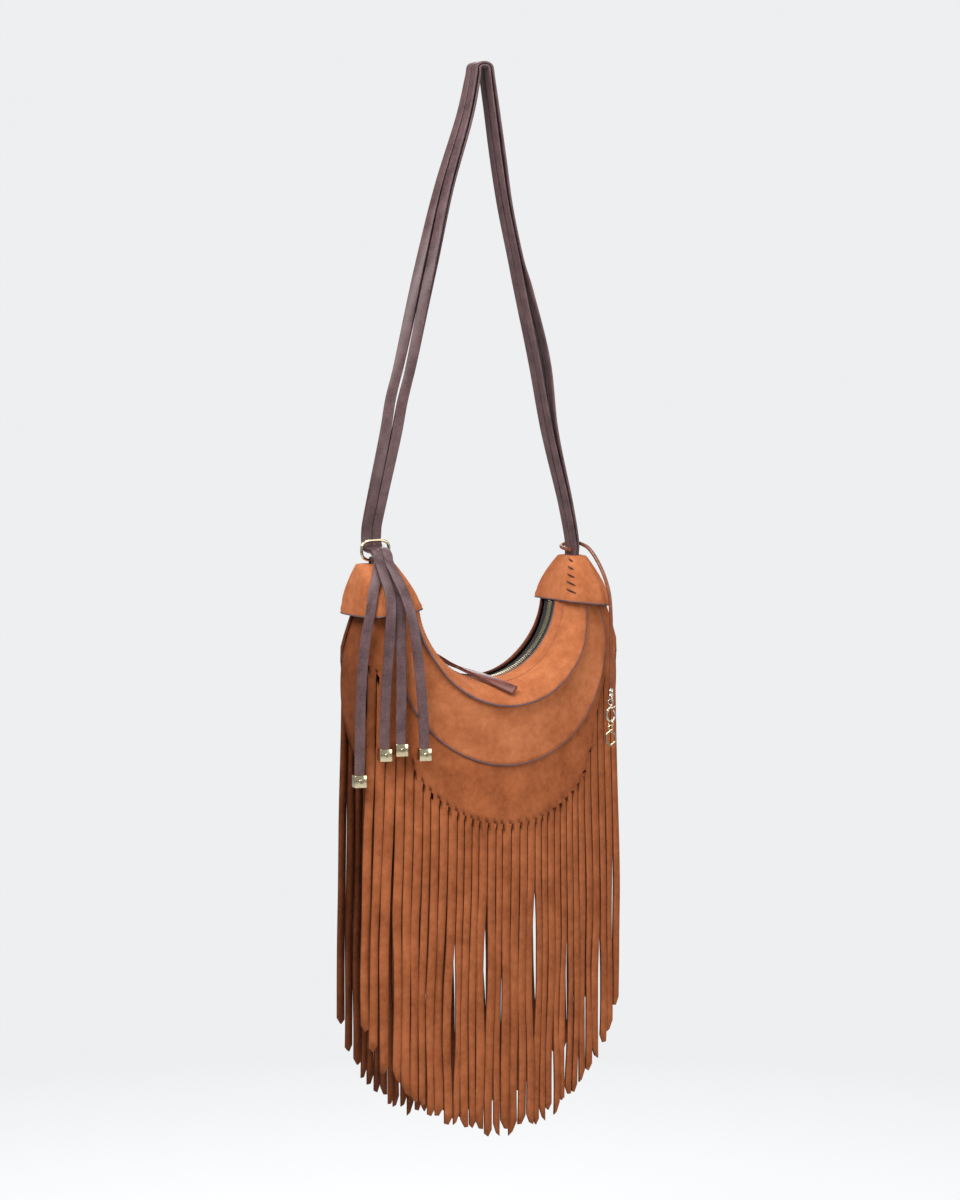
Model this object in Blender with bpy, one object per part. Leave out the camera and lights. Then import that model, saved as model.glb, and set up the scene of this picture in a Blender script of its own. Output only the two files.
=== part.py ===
"""Fringed suede shoulder bag, hung by its strap. Metres, +Z up, front towards -Y.

The origin is under the top of the strap, where a peg or a shoulder holds it.
"""
import math

import bmesh
import bpy
from mathutils import Vector

# Overall sizes
RIM_DROP = 0.524           # from the hang point down to the centre of the curved opening
RIM_R = 0.081              # inner radius of the opening, at the suede edge
PANEL_HALF = 0.150         # half width of the panels where the depth is least
FRINGE_HALF = 0.143        # half width of the row of slits
FRINGE_DROP = 0.537        # from the opening's centre down to the longest strip end
BELLY_DEPTH = 0.052        # half depth at the middle of the bag
EDGE_DEPTH = 0.025         # half depth at the side edges
RIM_RISE = 0.8             # how steeply the faces rise out of the rim, 0.5 being a quarter round

# Suede and lining
SUEDE = 0.0018
LINING = 0.0012
LINING_END = 88.0          # angle at which it ends under the collars
LINING_CLEAR = 0.0020      # from the zip tape to the pocket's upper edge
LINING_INSET = 2.0 * SUEDE + 0.0020
GAP = 0.0004

# Tiers of the front: circle radius and drop of its centre below the opening's centre
TIER1_R, TIER1_DROP = 0.0986, 0.006
TIER2_R, TIER2_DROP = 0.121, 0.043
SLIT_R, SLIT_DROP = 0.1195, 0.104
TIER_SHIFT = 0.005
TIER1_PROUD = 3.0 * SUEDE + 0.0014
TIER2_PROUD = 1.25 * SUEDE + 0.00095
TIER_LAP = 0.75

# Fringe
STRIPS = 30
PANEL_END = 91.5           # angle to which the faces run up into the collars
SLIT = 0.0008
SLIT_SIDE_DROP = 0.060     # slit top at the side edge
STRIP_SEGMENTS = 4
END_R_X, END_R_Z = 0.150, 0.175

# Zip
TAPE_R = RIM_R + SUEDE + 0.0002
TAPE_T = 0.0008
TAPE_IN, TAPE_OUT = 0.0039, 0.0118
TEETH_R, TEETH_T = TAPE_R - 0.0009, 0.0027
TEETH_IN, TEETH_OUT = 0.0008, 0.0036
TEETH_STEP = 0.0080
ZIP_HALF_ANGLE = 85.8
TAPE_HALF_ANGLE = 88.3
STOP_ANGLE = 87.0
STOP_LEN = 0.0018
SLIDER_ANGLE = -58.0
SLIDER_LEN, SLIDER_HALF = 0.0095, 0.0052
PLATE_T, PLATE_GAP = 0.0013, 0.0004
BAIL_R, BAIL_WIRE = 0.0030, 0.00075
PULL_LEN, PULL_HALF, PULL_WIRE = 0.0125, 0.0060, 0.0008
PULLER_W, PULLER_T = 0.0100, 0.0036

# Strap laces
LACE_W, LACE_T = 0.0100, 0.0022
LACE_SIDE, LACE_LAYER = LACE_W + 0.0004, LACE_T + 0.0007
LACE_STEPS = 2             # sections between two points of a lace's route

# Collars: half sizes at the foot and at the top
COLLAR_T = 0.0022
COLLAR_SQUARE = 0.5        # 1 is an ellipse, smaller is squarer
COLLAR_TOP_UP = 0.037
COLLAR_FOOT_IN, COLLAR_FOOT_OUT = 0.001, 0.007
LEFT_X, LEFT_FOOT, LEFT_TOP, LEFT_TOP_X = -0.1130, (0.030, 0.041), (0.019, 0.0110), -0.1190
RIGHT_X, RIGHT_FOOT, RIGHT_TOP, RIGHT_TOP_X = 0.1085, (0.028, 0.039), (0.011, LACE_W + 0.0045), 0.1075

# Ring at the left collar
RING_WIRE = 0.0015
RING_HALF_X, RING_HALF_Z = (LACE_SIDE + LACE_W) / 2.0 + RING_WIRE + 0.0035, 0.0098
RING_UP = 0.0505
TAB_W, TAB_T = 0.0115, 0.0018

# Cubes on the lace ends
CUBE = LACE_W + 0.0022
CUBE_SOCKET = 0.0075
SCREW_R, SCREW_T = 0.0021, 0.0012

# Charm
CORD_R = 0.0019
EYE_R, EYE_WIRE = 0.0029, 0.0007
JUMP_R, CHARM_EYE_R = 0.0041, 0.0024
CHARM_X, CHARM_Y = 0.1268, -0.0440
CORD_END_DROP = 0.096

RIM_Z = -RIM_DROP


def smooth(low, high, value):
    """Smooth step from 0 to 1."""
    t = min(max((value - low) / (high - low), 0.0), 1.0)
    return t * t * (3.0 - 2.0 * t)


def half_depth(x, drop):
    """Half depth of the bag's face at a side position and a drop below the opening's centre."""
    side = min((x / PANEL_HALF) ** 2, 1.05)
    depth = EDGE_DEPTH + (BELLY_DEPTH - EDGE_DEPTH) * (1.0 - side)
    depth *= 0.72 + 0.28 * smooth(0.0, 0.07, drop)
    return depth - 0.006 * smooth(0.23, FRINGE_DROP, drop) * (1.0 - min(side, 1.0))


def polar(angle, radius):
    """Side position and drop of a point at an angle from straight down."""
    a = math.radians(angle)
    return radius * math.sin(a), radius * math.cos(a)


def circle_radius(angle, circle_r, circle_drop, shift=TIER_SHIFT):
    """Distance from the opening's centre to an off-centre circle, along an angle."""
    a = math.radians(angle)
    along = circle_drop * math.cos(a) + shift * math.sin(a)
    return along + math.sqrt(circle_r ** 2 - circle_drop ** 2 - shift ** 2 + along ** 2)


def body_radius(angle):
    """Distance from the opening's centre to the outline of the closed body."""
    c = max(math.cos(math.radians(angle)), 0.0)
    return 0.127 + 0.105 * c ** 1.35


def tuck(angle, radius):
    """Keep the inner part of a panel's end just below the collar's foot, and let the outer part go in."""
    over = abs(angle) - 80.0
    if over <= 0.0:
        return angle
    share = 0.75 + 0.25 * smooth(0.094, 0.104, radius)
    return math.copysign(80.0 + over * share, angle)


def face_point(angle, radius, offset, rim_radius, rim_depth, sign):
    """Point on a face of the bag: the surface rises steeply out of the rim, then follows the belly."""
    x, drop = polar(tuck(angle, radius), radius)
    full = circle_radius(angle, TIER1_R, TIER1_DROP)
    t = min(max((radius - rim_radius) / (full - rim_radius), 0.0), 1.0)
    rise = (1.0 - (1.0 - t) ** 2) ** RIM_RISE
    fade = 0.72 + 0.28 * smooth(0.0, 0.07, drop)
    depth = rim_depth + (half_depth(x, drop) + offset * fade - rim_depth) * rise
    return Vector((x, sign * depth, RIM_Z - drop))


def rim_point(angle, radius, depth):
    """Point of a lip that turns in at the opening, on the front."""
    x, drop = polar(tuck(angle, radius), radius)
    return Vector((x, -depth, RIM_Z - drop))


def material(name, colour, roughness, metallic=0.0):
    """Principled material of one colour."""
    mat = bpy.data.materials.new(name)
    mat.use_nodes = True
    shader = mat.node_tree.nodes["Principled BSDF"]
    shader.inputs["Base Color"].default_value = (*colour, 1.0)
    shader.inputs["Roughness"].default_value = roughness
    shader.inputs["Metallic"].default_value = metallic
    return mat


def add_object(name, bm, mat, smooth_angle=None):
    """Turn a bmesh into a named object with outward faces."""
    bmesh.ops.recalc_face_normals(bm, faces=bm.faces)
    mesh = bpy.data.meshes.new(name)
    bm.to_mesh(mesh)
    bm.free()
    if smooth_angle is not None:
        mesh.shade_smooth()
        mesh.set_sharp_from_angle(angle=math.radians(smooth_angle))
    obj = bpy.data.objects.new(name, mesh)
    obj.data.materials.append(mat)
    bpy.context.scene.collection.objects.link(obj)
    return obj


def thicken(obj, thickness, offset=-1.0):
    """Give a sheet its thickness, on the side that the offset names."""
    mod = obj.modifiers.new("thickness", "SOLIDIFY")
    mod.thickness = thickness
    mod.offset = offset
    mod.use_even_offset = False
    return obj


def sheet(name, rows, mat, thickness, outward, offset=-1.0):
    """Sheet from rows of points; its faces look along the outward direction before it is thickened."""
    bm = bmesh.new()
    grid = [[bm.verts.new(p) for p in row] for row in rows]
    for r in range(len(grid) - 1):
        for c in range(len(grid[r]) - 1):
            bm.faces.new((grid[r][c], grid[r][c + 1], grid[r + 1][c + 1], grid[r + 1][c]))
    obj = add_object(name, bm, mat, 60.0)
    face_towards(obj, outward)
    return thicken(obj, thickness, offset)


def face_towards(obj, outward):
    """Flip a sheet whose faces look away from a direction."""
    total = sum((p.normal * p.area for p in obj.data.polygons), Vector())
    if total.dot(Vector(outward)) < 0.0:
        obj.data.flip_normals()


def sweep(name, sections, mat, smooth_angle=40.0):
    """Closed solid through rings of points, with flat ends."""
    bm = bmesh.new()
    rings = [[bm.verts.new(p) for p in ring] for ring in sections]
    for one, two in zip(rings, rings[1:]):
        for i in range(len(one)):
            j = (i + 1) % len(one)
            bm.faces.new((one[i], one[j], two[j], two[i]))
    bm.faces.new(rings[0])
    bm.faces.new(rings[-1])
    return add_object(name, bm, mat, smooth_angle)


def curve_points(points, steps):
    """Points on a smooth curve through the given ones, with even steps between each two."""
    pts = [Vector(p) for p in points]
    pts = [pts[0] * 2.0 - pts[1], *pts, pts[-1] * 2.0 - pts[-2]]
    out = []
    for i in range(1, len(pts) - 2):
        a, b, c, d = pts[i - 1:i + 3]
        for k in range(steps):
            t = k / steps
            out.append(0.5 * (2.0 * b + (c - a) * t + (2.0 * a - 5.0 * b + 4.0 * c - d) * t * t
                              + (3.0 * b - 3.0 * c + d - a) * t ** 3))
    out.append(pts[-2])
    return out


def even_curve(points, count):
    """Evenly spaced points on a smooth curve through the given ones."""
    dense = curve_points(points, 24)
    run = [0.0]
    for a, b in zip(dense, dense[1:]):
        run.append(run[-1] + (b - a).length)
    out = []
    k = 0
    for i in range(count):
        want = run[-1] * i / (count - 1)
        while k < len(run) - 2 and run[k + 1] < want:
            k += 1
        out.append(dense[k].lerp(dense[k + 1], (want - run[k]) / (run[k + 1] - run[k])))
    return out


def flat_tube(name, points, widths, width, thickness, mat, steps):
    """Flat strip along a smooth curve; each route point has its own width direction."""
    path = curve_points(points, steps)
    sections = []
    for i, p in enumerate(path):
        ahead = path[min(i + 1, len(path) - 1)] - path[max(i - 1, 0)]
        tangent = ahead.normalized()
        k = min(i // steps, len(widths) - 2)
        side = Vector(widths[k]).lerp(Vector(widths[k + 1]), (i - k * steps) / steps)
        side = (side - tangent * side.dot(tangent)).normalized()
        normal = side.cross(tangent)
        a = side * (width / 2.0)
        b = normal * (thickness / 2.0)
        sections.append((p - a - b, p + a - b, p + a + b, p - a + b))
    return sweep(name, sections, mat, 30.0)


def torus(name, centre, axis, major, wire, mat, segments=20, sides=8, squash=1.0, square=1.0):
    """Round or oval wire ring about an axis; squash scales its height, square below 1 flattens its sides."""
    axis = Vector(axis).normalized()
    across = axis.orthogonal().normalized() if abs(axis.z) > 0.9 else axis.cross(Vector((0, 0, 1)))
    up = across.cross(axis)
    bm = bmesh.new()
    rings = []
    for i in range(segments):
        a = 2.0 * math.pi * i / segments
        out = across * math.cos(a) + up * math.sin(a)
        c = math.copysign(abs(math.cos(a)) ** square, math.cos(a))
        s = math.copysign(abs(math.sin(a)) ** square, math.sin(a))
        mid = Vector(centre) + across * (major * c) + up * (major * squash * s)
        ring = []
        for j in range(sides):
            b = 2.0 * math.pi * j / sides
            ring.append(bm.verts.new(mid + out * (wire * math.cos(b)) + axis * (wire * math.sin(b))))
        rings.append(ring)
    for i in range(segments):
        one = rings[i]
        two = rings[(i + 1) % segments]
        for j in range(sides):
            k = (j + 1) % sides
            bm.faces.new((one[j], one[k], two[k], two[j]))
    return add_object(name, bm, mat, 50.0)


def set_origin(obj, point):
    """Put an object's origin at a point and leave its shape where it is."""
    shift = Vector(point)
    for v in obj.data.vertices:
        v.co -= shift
    obj.location = shift


def cut(obj, cutter):
    """Subtract a guide object with an exact Boolean."""
    cutter.hide_render = True
    cutter.display_type = "WIRE"
    mod = obj.modifiers.new("cut", "BOOLEAN")
    mod.operation = "DIFFERENCE"
    mod.solver = "EXACT"
    mod.object = cutter


def box(name, low, high, mat):
    """Plain box between two corners."""
    bm = bmesh.new()
    bmesh.ops.create_cube(bm, size=1.0)
    for v in bm.verts:
        v.co = Vector(l + (h - l) * (c + 0.5) for l, h, c in zip(low, high, v.co))
    return add_object(name, bm, mat)


# Panels

def slit_drop(x):
    """Drop of the slit top at a side position: a round lower edge that climbs at the sides."""
    inner = min(abs(x - TIER_SHIFT), SLIT_R * 0.93)
    low = SLIT_DROP + math.sqrt(SLIT_R ** 2 - inner ** 2)
    return low + (SLIT_SIDE_DROP - low) * smooth(0.095, FRINGE_HALF, abs(x))


def strip_edges():
    """Left and right side positions of each strip at the slit tops."""
    pitch = 2.0 * FRINGE_HALF / STRIPS
    for k in range(STRIPS):
        left = -FRINGE_HALF + k * pitch
        yield left + SLIT / 2.0, left + pitch - SLIT / 2.0


def strip_end_drop(x):
    """Drop of a strip's lower end, on the rounded outline of the fringe."""
    share = min(abs(x) / END_R_X, 0.985)
    return FRINGE_DROP - END_R_Z + END_R_Z * math.sqrt(1.0 - share ** 2)


def fringe_panel(name, sign, top_of, shares, mat):
    """Panel with its lower part slit into strips: radial columns above the slits, straight strips below."""
    rim_r = RIM_R + 0.0002
    columns = []
    for angle in (-PANEL_END, -84.0, -76.0):
        columns.append((angle, body_radius(angle) + 0.002))
    for left, right in strip_edges():
        for x in (left, right):
            drop = slit_drop(x)
            columns.append((math.degrees(math.atan2(x, drop)), math.hypot(x, drop)))
    for angle in (76.0, 84.0, PANEL_END):
        columns.append((angle, body_radius(angle) + 0.002))
    bm = bmesh.new()
    grid = []
    steps = len(shares) - 1
    for angle, end in columns:
        start = top_of(angle)
        grid.append([bm.verts.new(face_point(angle, start + (end - start) * t, 0.0, rim_r, 0.0136, sign))
                     for t in shares])
    for one, two in zip(grid, grid[1:]):
        for r in range(steps):
            bm.faces.new((one[r], two[r], two[r + 1], one[r + 1]))
    for k, (left, right) in enumerate(strip_edges()):
        above = (grid[3 + 2 * k][-1], grid[4 + 2 * k][-1])
        add_strip(bm, above, left, right, sign)
    obj = add_object(name, bm, mat, 60.0)
    face_towards(obj, (0, sign, 0))
    return thicken(obj, SUEDE)


def add_strip(bm, above, left, right, sign):
    """Hang one strip from two points of the slit row."""
    middle = (left + right) / 2.0
    top = slit_drop(middle)
    end = strip_end_drop(middle)
    for s in range(1, STRIP_SEGMENTS + 1):
        t = s / STRIP_SEGMENTS
        flare = 1.0 + 0.045 * smooth(0.0, 0.7, t)
        row = []
        for x in (left, right):
            drop = top + (end - top) * t
            wide = middle * flare + (x - middle)
            row.append(bm.verts.new((wide, sign * half_depth(wide, drop), RIM_Z - drop)))
        bm.faces.new((above[0], above[1], row[1], row[0]))
        above = row


def rim_top(angle):
    """Upper edge of a panel that reaches the opening."""
    return RIM_R + 0.0002


def lapped_top(angle):
    """Upper edge of the fringe panel, tucked under the middle tier."""
    low = circle_radius(angle, TIER2_R, TIER2_DROP)
    return max(low - 0.014, circle_radius(angle, TIER1_R, TIER1_DROP) + 0.001)


def make_tier(name, mat, circle, top_of, proud, power, lip):
    """Crescent tier of the front, from its upper seam to its flared lower edge."""
    rows = []
    angles = [PANEL_END * (i / 14.0 - 1.0) for i in range(29)]
    steps = 5
    for r in range(steps + 1):
        t = r / steps
        row = []
        for angle in angles:
            top = top_of(angle)
            low = circle_radius(angle, *circle)
            row.append(face_point(angle, top + (low - top) * t ** power, proud, RIM_R + 0.0002, 0.0136, -1.0))
        rows.append(row)
    if lip:
        rows.insert(0, [rim_point(a, RIM_R, 0.0100) for a in angles])
    return sheet(name, rows, mat, SUEDE, (0, -1, 0.2))


def tier2_top(angle):
    """Upper edge of the middle tier, tucked under the upper one."""
    full = circle_radius(angle, TIER1_R, TIER1_DROP)
    return RIM_R + TIER_LAP * (full - RIM_R)


def make_gusset(mat):
    """Side and bottom strip between the front and the back."""
    rows = []
    for i in range(31):
        angle = PANEL_END * (i / 15.0 - 1.0)
        radius = body_radius(angle)
        x, drop = polar(angle, radius)
        reach = half_depth(x, drop) - SUEDE - 2.0 * GAP
        rows.append([Vector((x, reach * s, RIM_Z - drop)) for s in (-1.0, -0.34, 0.34, 1.0)])
    obj = sheet("gusset", rows, mat, SUEDE, (0, 0, -1))
    return obj


def make_lining(mat):
    """Open pocket of lining inside the front, the back and the gusset."""
    rows = []
    rim_r = TAPE_R + TAPE_T + LINING_CLEAR
    for i in range(25):
        angle = LINING_END * (i / 12.0 - 1.0)
        low = body_radius(angle) - SUEDE - LINING
        half = []
        for s in (0.0, 0.02, 0.06, 0.13, 0.5, 1.0):
            radius = rim_r + (low - rim_r) * s
            half.append(face_point(angle, radius, -LINING_INSET, rim_r, 0.0128, -1.0))
        back = [Vector((p.x, -p.y, p.z)) for p in reversed(half)]
        lip = rim_point(angle, rim_r - 0.0002, 0.0098)
        rows.append([lip, *half, *back, Vector((lip.x, -lip.y, lip.z))])
    return sheet("lining", rows, mat, LINING, (0, 0, -1))


# Zip

def arc_bar(name, y_low, y_high, radius, thickness, half_angle, mat, count=30):
    """Bar of square section along the curved opening."""
    sections = []
    for i in range(count + 1):
        angle = -half_angle + 2.0 * half_angle * i / count
        ring = []
        for y, extra in ((y_low, 0.0), (y_high, 0.0), (y_high, thickness), (y_low, thickness)):
            x, drop = polar(angle, radius + extra)
            ring.append(Vector((x, y, RIM_Z - drop)))
        sections.append(ring)
    return sweep(name, sections, mat, 30.0)


def toothed_bar(name, sign, mat):
    """Row of zip teeth on one root strip, seen from the opening as a comb."""
    count = int(2.0 * math.radians(ZIP_HALF_ANGLE) * TEETH_R / TEETH_STEP)
    step = 2.0 * ZIP_HALF_ANGLE / count
    root = TEETH_OUT - 0.0011
    angles = [-ZIP_HALF_ANGLE]
    for k in range(count):
        start = -ZIP_HALF_ANGLE + k * step
        angles += [start + step * 0.25, start + step * 0.75]
    angles.append(ZIP_HALF_ANGLE)
    bm = bmesh.new()

    def line(y, radius):
        verts = []
        for angle in angles:
            x, drop = polar(angle, radius)
            verts.append(bm.verts.new((x, sign * y, RIM_Z - drop)))
        return verts

    near = (line(TEETH_OUT, TEETH_R), line(root, TEETH_R), line(TEETH_IN, TEETH_R))
    away = [line(y, TEETH_R + TEETH_T) for y in (TEETH_OUT, root, TEETH_IN)]
    last = len(angles) - 1
    for i in range(last):
        tooth = i % 2 == 1
        for out, mid, tip in (near, away):
            bm.faces.new((out[i], out[i + 1], mid[i + 1], mid[i]))
            if tooth:
                bm.faces.new((mid[i], mid[i + 1], tip[i + 1], tip[i]))
        bm.faces.new((near[0][i], near[0][i + 1], away[0][i + 1], away[0][i]))
        front = 2 if tooth else 1
        bm.faces.new((near[front][i], near[front][i + 1], away[front][i + 1], away[front][i]))
        if tooth:
            for j in (i, i + 1):
                bm.faces.new((near[1][j], near[2][j], away[2][j], away[1][j]))
    for i in (0, last):
        bm.faces.new((near[0][i], near[1][i], away[1][i], away[0][i]))
    bmesh.ops.delete(bm, geom=[v for v in bm.verts if not v.link_faces], context="VERTS")
    return add_object(name, bm, mat)


def zip_frame(angle):
    """Point on the opening's centre plane, the way along the zip and the way out of it."""
    a = math.radians(angle)
    along = Vector((math.cos(a), 0.0, math.sin(a)))
    inward = Vector((-math.sin(a), 0.0, math.cos(a)))
    return Vector((0.0, 0.0, RIM_Z)), along, inward


def zip_box(name, angle, length, y_half, r_low, r_high, mat):
    """Box across the zip at an angle, between two radii."""
    centre, along, inward = zip_frame(angle)
    ring_a = []
    ring_b = []
    for y, r in ((-y_half, r_low), (y_half, r_low), (y_half, r_high), (-y_half, r_high)):
        foot = centre - inward * r + Vector((0.0, y, 0.0))
        ring_a.append(foot - along * (length / 2.0))
        ring_b.append(foot + along * (length / 2.0))
    return sweep(name, [ring_a, ring_b], mat, 30.0)


def join_into(base, others):
    """Unite solids into one object with exact Booleans."""
    for other in others:
        other.hide_render = True
        other.display_type = "WIRE"
        mod = base.modifiers.new("join", "BOOLEAN")
        mod.operation = "UNION"
        mod.solver = "EXACT"
        mod.object = other
    return base


def make_slider(mat):
    """Zip slider: two plates joined by a post, side guards and the bail for the pull."""
    top_high = TEETH_R - PLATE_GAP - 0.0003
    top_low = top_high - PLATE_T
    low_top = TEETH_R + TEETH_T + PLATE_GAP
    body = zip_box("zip_slider", SLIDER_ANGLE, SLIDER_LEN, SLIDER_HALF, top_low, top_high, mat)
    under = zip_box("slider_under", SLIDER_ANGLE, SLIDER_LEN * 0.92, SLIDER_HALF - 0.0008, low_top,
                    low_top + PLATE_T, mat)
    post = zip_box("slider_post", SLIDER_ANGLE, SLIDER_LEN * 0.35, TEETH_IN * 0.55, top_high - 0.0006,
                   low_top + 0.0006, mat)
    guards = []
    for sign in (-1.0, 1.0):
        guard = zip_box("slider_guard", SLIDER_ANGLE, SLIDER_LEN * 0.8, 0.0005, top_low + 0.0003,
                        TAPE_R - 0.0003, mat)
        guard.location.y = sign * (SLIDER_HALF - 0.0005)
        guards.append(guard)
    centre, along, inward = zip_frame(SLIDER_ANGLE)
    hub = centre - inward * (top_low - BAIL_R * 0.55)
    bail = torus("slider_bail", hub, (0, 1, 0), BAIL_R, BAIL_WIRE, mat, 16, 6)
    join_into(body, [under, post, *guards, bail])
    set_origin(body, (0.0, 0.0, RIM_Z))
    return hub, along, inward


def make_pull(mat, hub, along, inward):
    """Wire pull whose cross bar passes through the bail."""
    top = hub + inward * (BAIL_R - BAIL_WIRE - PULL_WIRE - 0.0005)
    far = top + along * PULL_LEN
    corners = [top + Vector((0, s * PULL_HALF, 0)) for s in (-1.0, 1.0)]
    far_corners = [far + Vector((0, s * PULL_HALF, 0)) for s in (1.0, -1.0)]
    loop = rounded_loop([*corners, *far_corners], 0.0018, 3)
    pull = wire_loop("zip_pull", loop, PULL_WIRE, mat)
    set_origin(pull, top)
    return top, far


def rounded_loop(corners, radius, steps):
    """Closed polygon with rounded corners."""
    out = []
    n = len(corners)
    for i, corner in enumerate(corners):
        before = (corners[i - 1] - corner).normalized() * radius
        after = (corners[(i + 1) % n] - corner).normalized() * radius
        for k in range(steps + 1):
            t = k / steps
            out.append(corner + before * (1.0 - t) ** 2 + after * t ** 2)
    return out


def wire_loop(name, loop, wire, mat, sides=6):
    """Closed round wire through a loop of points."""
    bm = bmesh.new()
    n = len(loop)
    normal = (loop[1] - loop[0]).cross(loop[n // 2] - loop[0]).normalized()
    rings = []
    for i, p in enumerate(loop):
        tangent = (loop[(i + 1) % n] - loop[i - 1]).normalized()
        side = tangent.cross(normal).normalized()
        ring = []
        for j in range(sides):
            a = 2.0 * math.pi * j / sides
            ring.append(bm.verts.new(p + side * (wire * math.cos(a)) + normal * (wire * math.sin(a))))
        rings.append(ring)
    for i in range(n):
        one = rings[i]
        two = rings[(i + 1) % n]
        for j in range(sides):
            k = (j + 1) % sides
            bm.faces.new((one[j], one[k], two[k], two[j]))
    return add_object(name, bm, mat, 50.0)


# Route of the leather puller: angle, radius, y, and how far its face leans to the front
PULLER_ROUTE = ((-40.0, 0.0765, -0.002, 0.0), (-30.0, 0.0758, -0.006, 0.05), (-22.0, 0.0758, -0.011, 0.15),
                (-15.0, 0.0768, -0.0180, 0.35), (-9.0, 0.0788, -0.0265, 0.55), (-4.0, 0.0820, -0.0365, 0.7),
                (1.0, 0.0864, -0.0465, 0.85), (5.0, 0.0905, -0.0550, 0.95))


def make_puller(mat, far, pull_origin):
    """Two-ply leather puller that lies along the zip and crosses onto the front."""
    start = far + zip_frame(SLIDER_ANGLE)[1] * (PULL_WIRE + 0.0008)
    route = [start]
    leans = [0.0]
    for angle, radius, y, lean in PULLER_ROUTE:
        x, drop = polar(angle, radius)
        route.append(Vector((x, y, RIM_Z - drop)))
        leans.append(lean)
    sides = []
    for i, p in enumerate(route):
        along = (route[min(i + 1, len(route) - 1)] - route[max(i - 1, 0)]).normalized()
        inward = (Vector((0.0, p.y, RIM_Z)) - p).normalized()
        outward = inward * math.cos(leans[i]) + Vector((0.0, -1.0, 0.0)) * math.sin(leans[i])
        sides.append(tuple(outward.cross(along).normalized()))
    puller = flat_tube("leather_puller", route, sides, PULLER_W, PULLER_T, mat, 2)
    set_origin(puller, pull_origin)


# Collars

def collar_ring(x_mid, half, height, points=24, shrink=0.0, slope_to=0.0):
    """One level of a collar: a rounded square outline."""
    ring = []
    for i in range(points):
        a = 2.0 * math.pi * i / points
        c = math.cos(a)
        s = math.sin(a)
        dx = math.copysign(abs(c) ** COLLAR_SQUARE, c) * (half[0] - shrink)
        dy = math.copysign(abs(s) ** COLLAR_SQUARE, s) * (half[1] - shrink)
        tilt = slope_to * dx / half[0]
        ring.append(Vector((x_mid + dx, dy, RIM_Z + height + tilt)))
    return ring


def make_collar(name, x_foot, foot, x_top, top, out_sign, slot, mat):
    """Suede cap over one end of the bag, open below and slotted at the top."""
    mid = -(COLLAR_FOOT_IN + COLLAR_FOOT_OUT) / 2.0
    lean = -out_sign * (COLLAR_FOOT_OUT - COLLAR_FOOT_IN) / 2.0

    def level(t, shrink, cap=0.0):
        share = t ** 1.45
        half = [f + (p - f) * share for f, p in zip(foot, top)]
        x_mid = x_foot + (x_top - x_foot) * t
        height = mid + (COLLAR_TOP_UP - cap - mid) * t
        return collar_ring(x_mid, half, height, shrink=shrink, slope_to=lean * (1.0 - t))

    steps = (0.0, 0.25, 0.5, 0.75, 1.0)
    outer = [level(t, 0.0) for t in steps]
    inner = [level(t, COLLAR_T, COLLAR_T) for t in reversed(steps)]
    bm = bmesh.new()
    rings = [[bm.verts.new(p) for p in ring] for ring in outer]
    bm.faces.new(rings[-1])
    for one, two in zip(rings, rings[1:]):
        for i in range(len(one)):
            j = (i + 1) % len(one)
            bm.faces.new((one[i], one[j], two[j], two[i]))
    inside = [[bm.verts.new(p) for p in ring] for ring in inner]
    bm.faces.new(inside[0])
    for one, two in zip([*inside], [*inside[1:], rings[0]]):
        for i in range(len(one)):
            j = (i + 1) % len(one)
            bm.faces.new((one[i], one[j], two[j], two[i]))
    collar = add_object(name, bm, mat, 40.0)
    low = (x_top - slot[0], -slot[1], RIM_Z + COLLAR_TOP_UP - 0.010)
    high = (x_top + slot[0], slot[1], RIM_Z + COLLAR_TOP_UP + 0.010)
    cut(collar, box(name + "_slot", low, high, mat))


def make_ring(metal, suede):
    """Oval strap ring and the leather tab that holds it to the left collar."""
    centre = Vector((LEFT_TOP_X, 0.0, RIM_Z + RING_UP))
    ring = torus("strap_ring", centre, (0, 1, 0), RING_HALF_X, RING_WIRE, metal, 28, 8,
                 RING_HALF_Z / RING_HALF_X, 0.66)
    pivot = centre - Vector((0.0, 0.0, RING_HALF_Z))
    set_origin(ring, pivot)
    inner = RING_WIRE + 0.0004
    profile = []
    for k in range(9):
        a = math.pi * k / 8
        profile.append(((inner + TAB_T) * math.cos(a), (inner + TAB_T) * math.sin(a)))
    profile.append((-inner - TAB_T, -0.020))
    profile.append((-inner, -0.020))
    for k in range(9):
        a = math.pi * (8 - k) / 8
        profile.append((inner * math.cos(a), inner * math.sin(a)))
    profile.append((inner, -0.020))
    profile.append((inner + TAB_T, -0.020))
    sections = []
    for s in (-1.0, 1.0):
        sections.append([pivot + Vector((s * TAB_W / 2.0, y, z)) for y, z in profile])
    sweep("ring_tab", sections, suede, 30.0)
    return pivot


# Strap

ROUTE_DROP = 0.524         # rim drop that the route below is drawn for
ROUTE_LACE_W = 0.010       # lace width that the tails are drawn for
TAIL_MIDDLE = -0.1203
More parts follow.
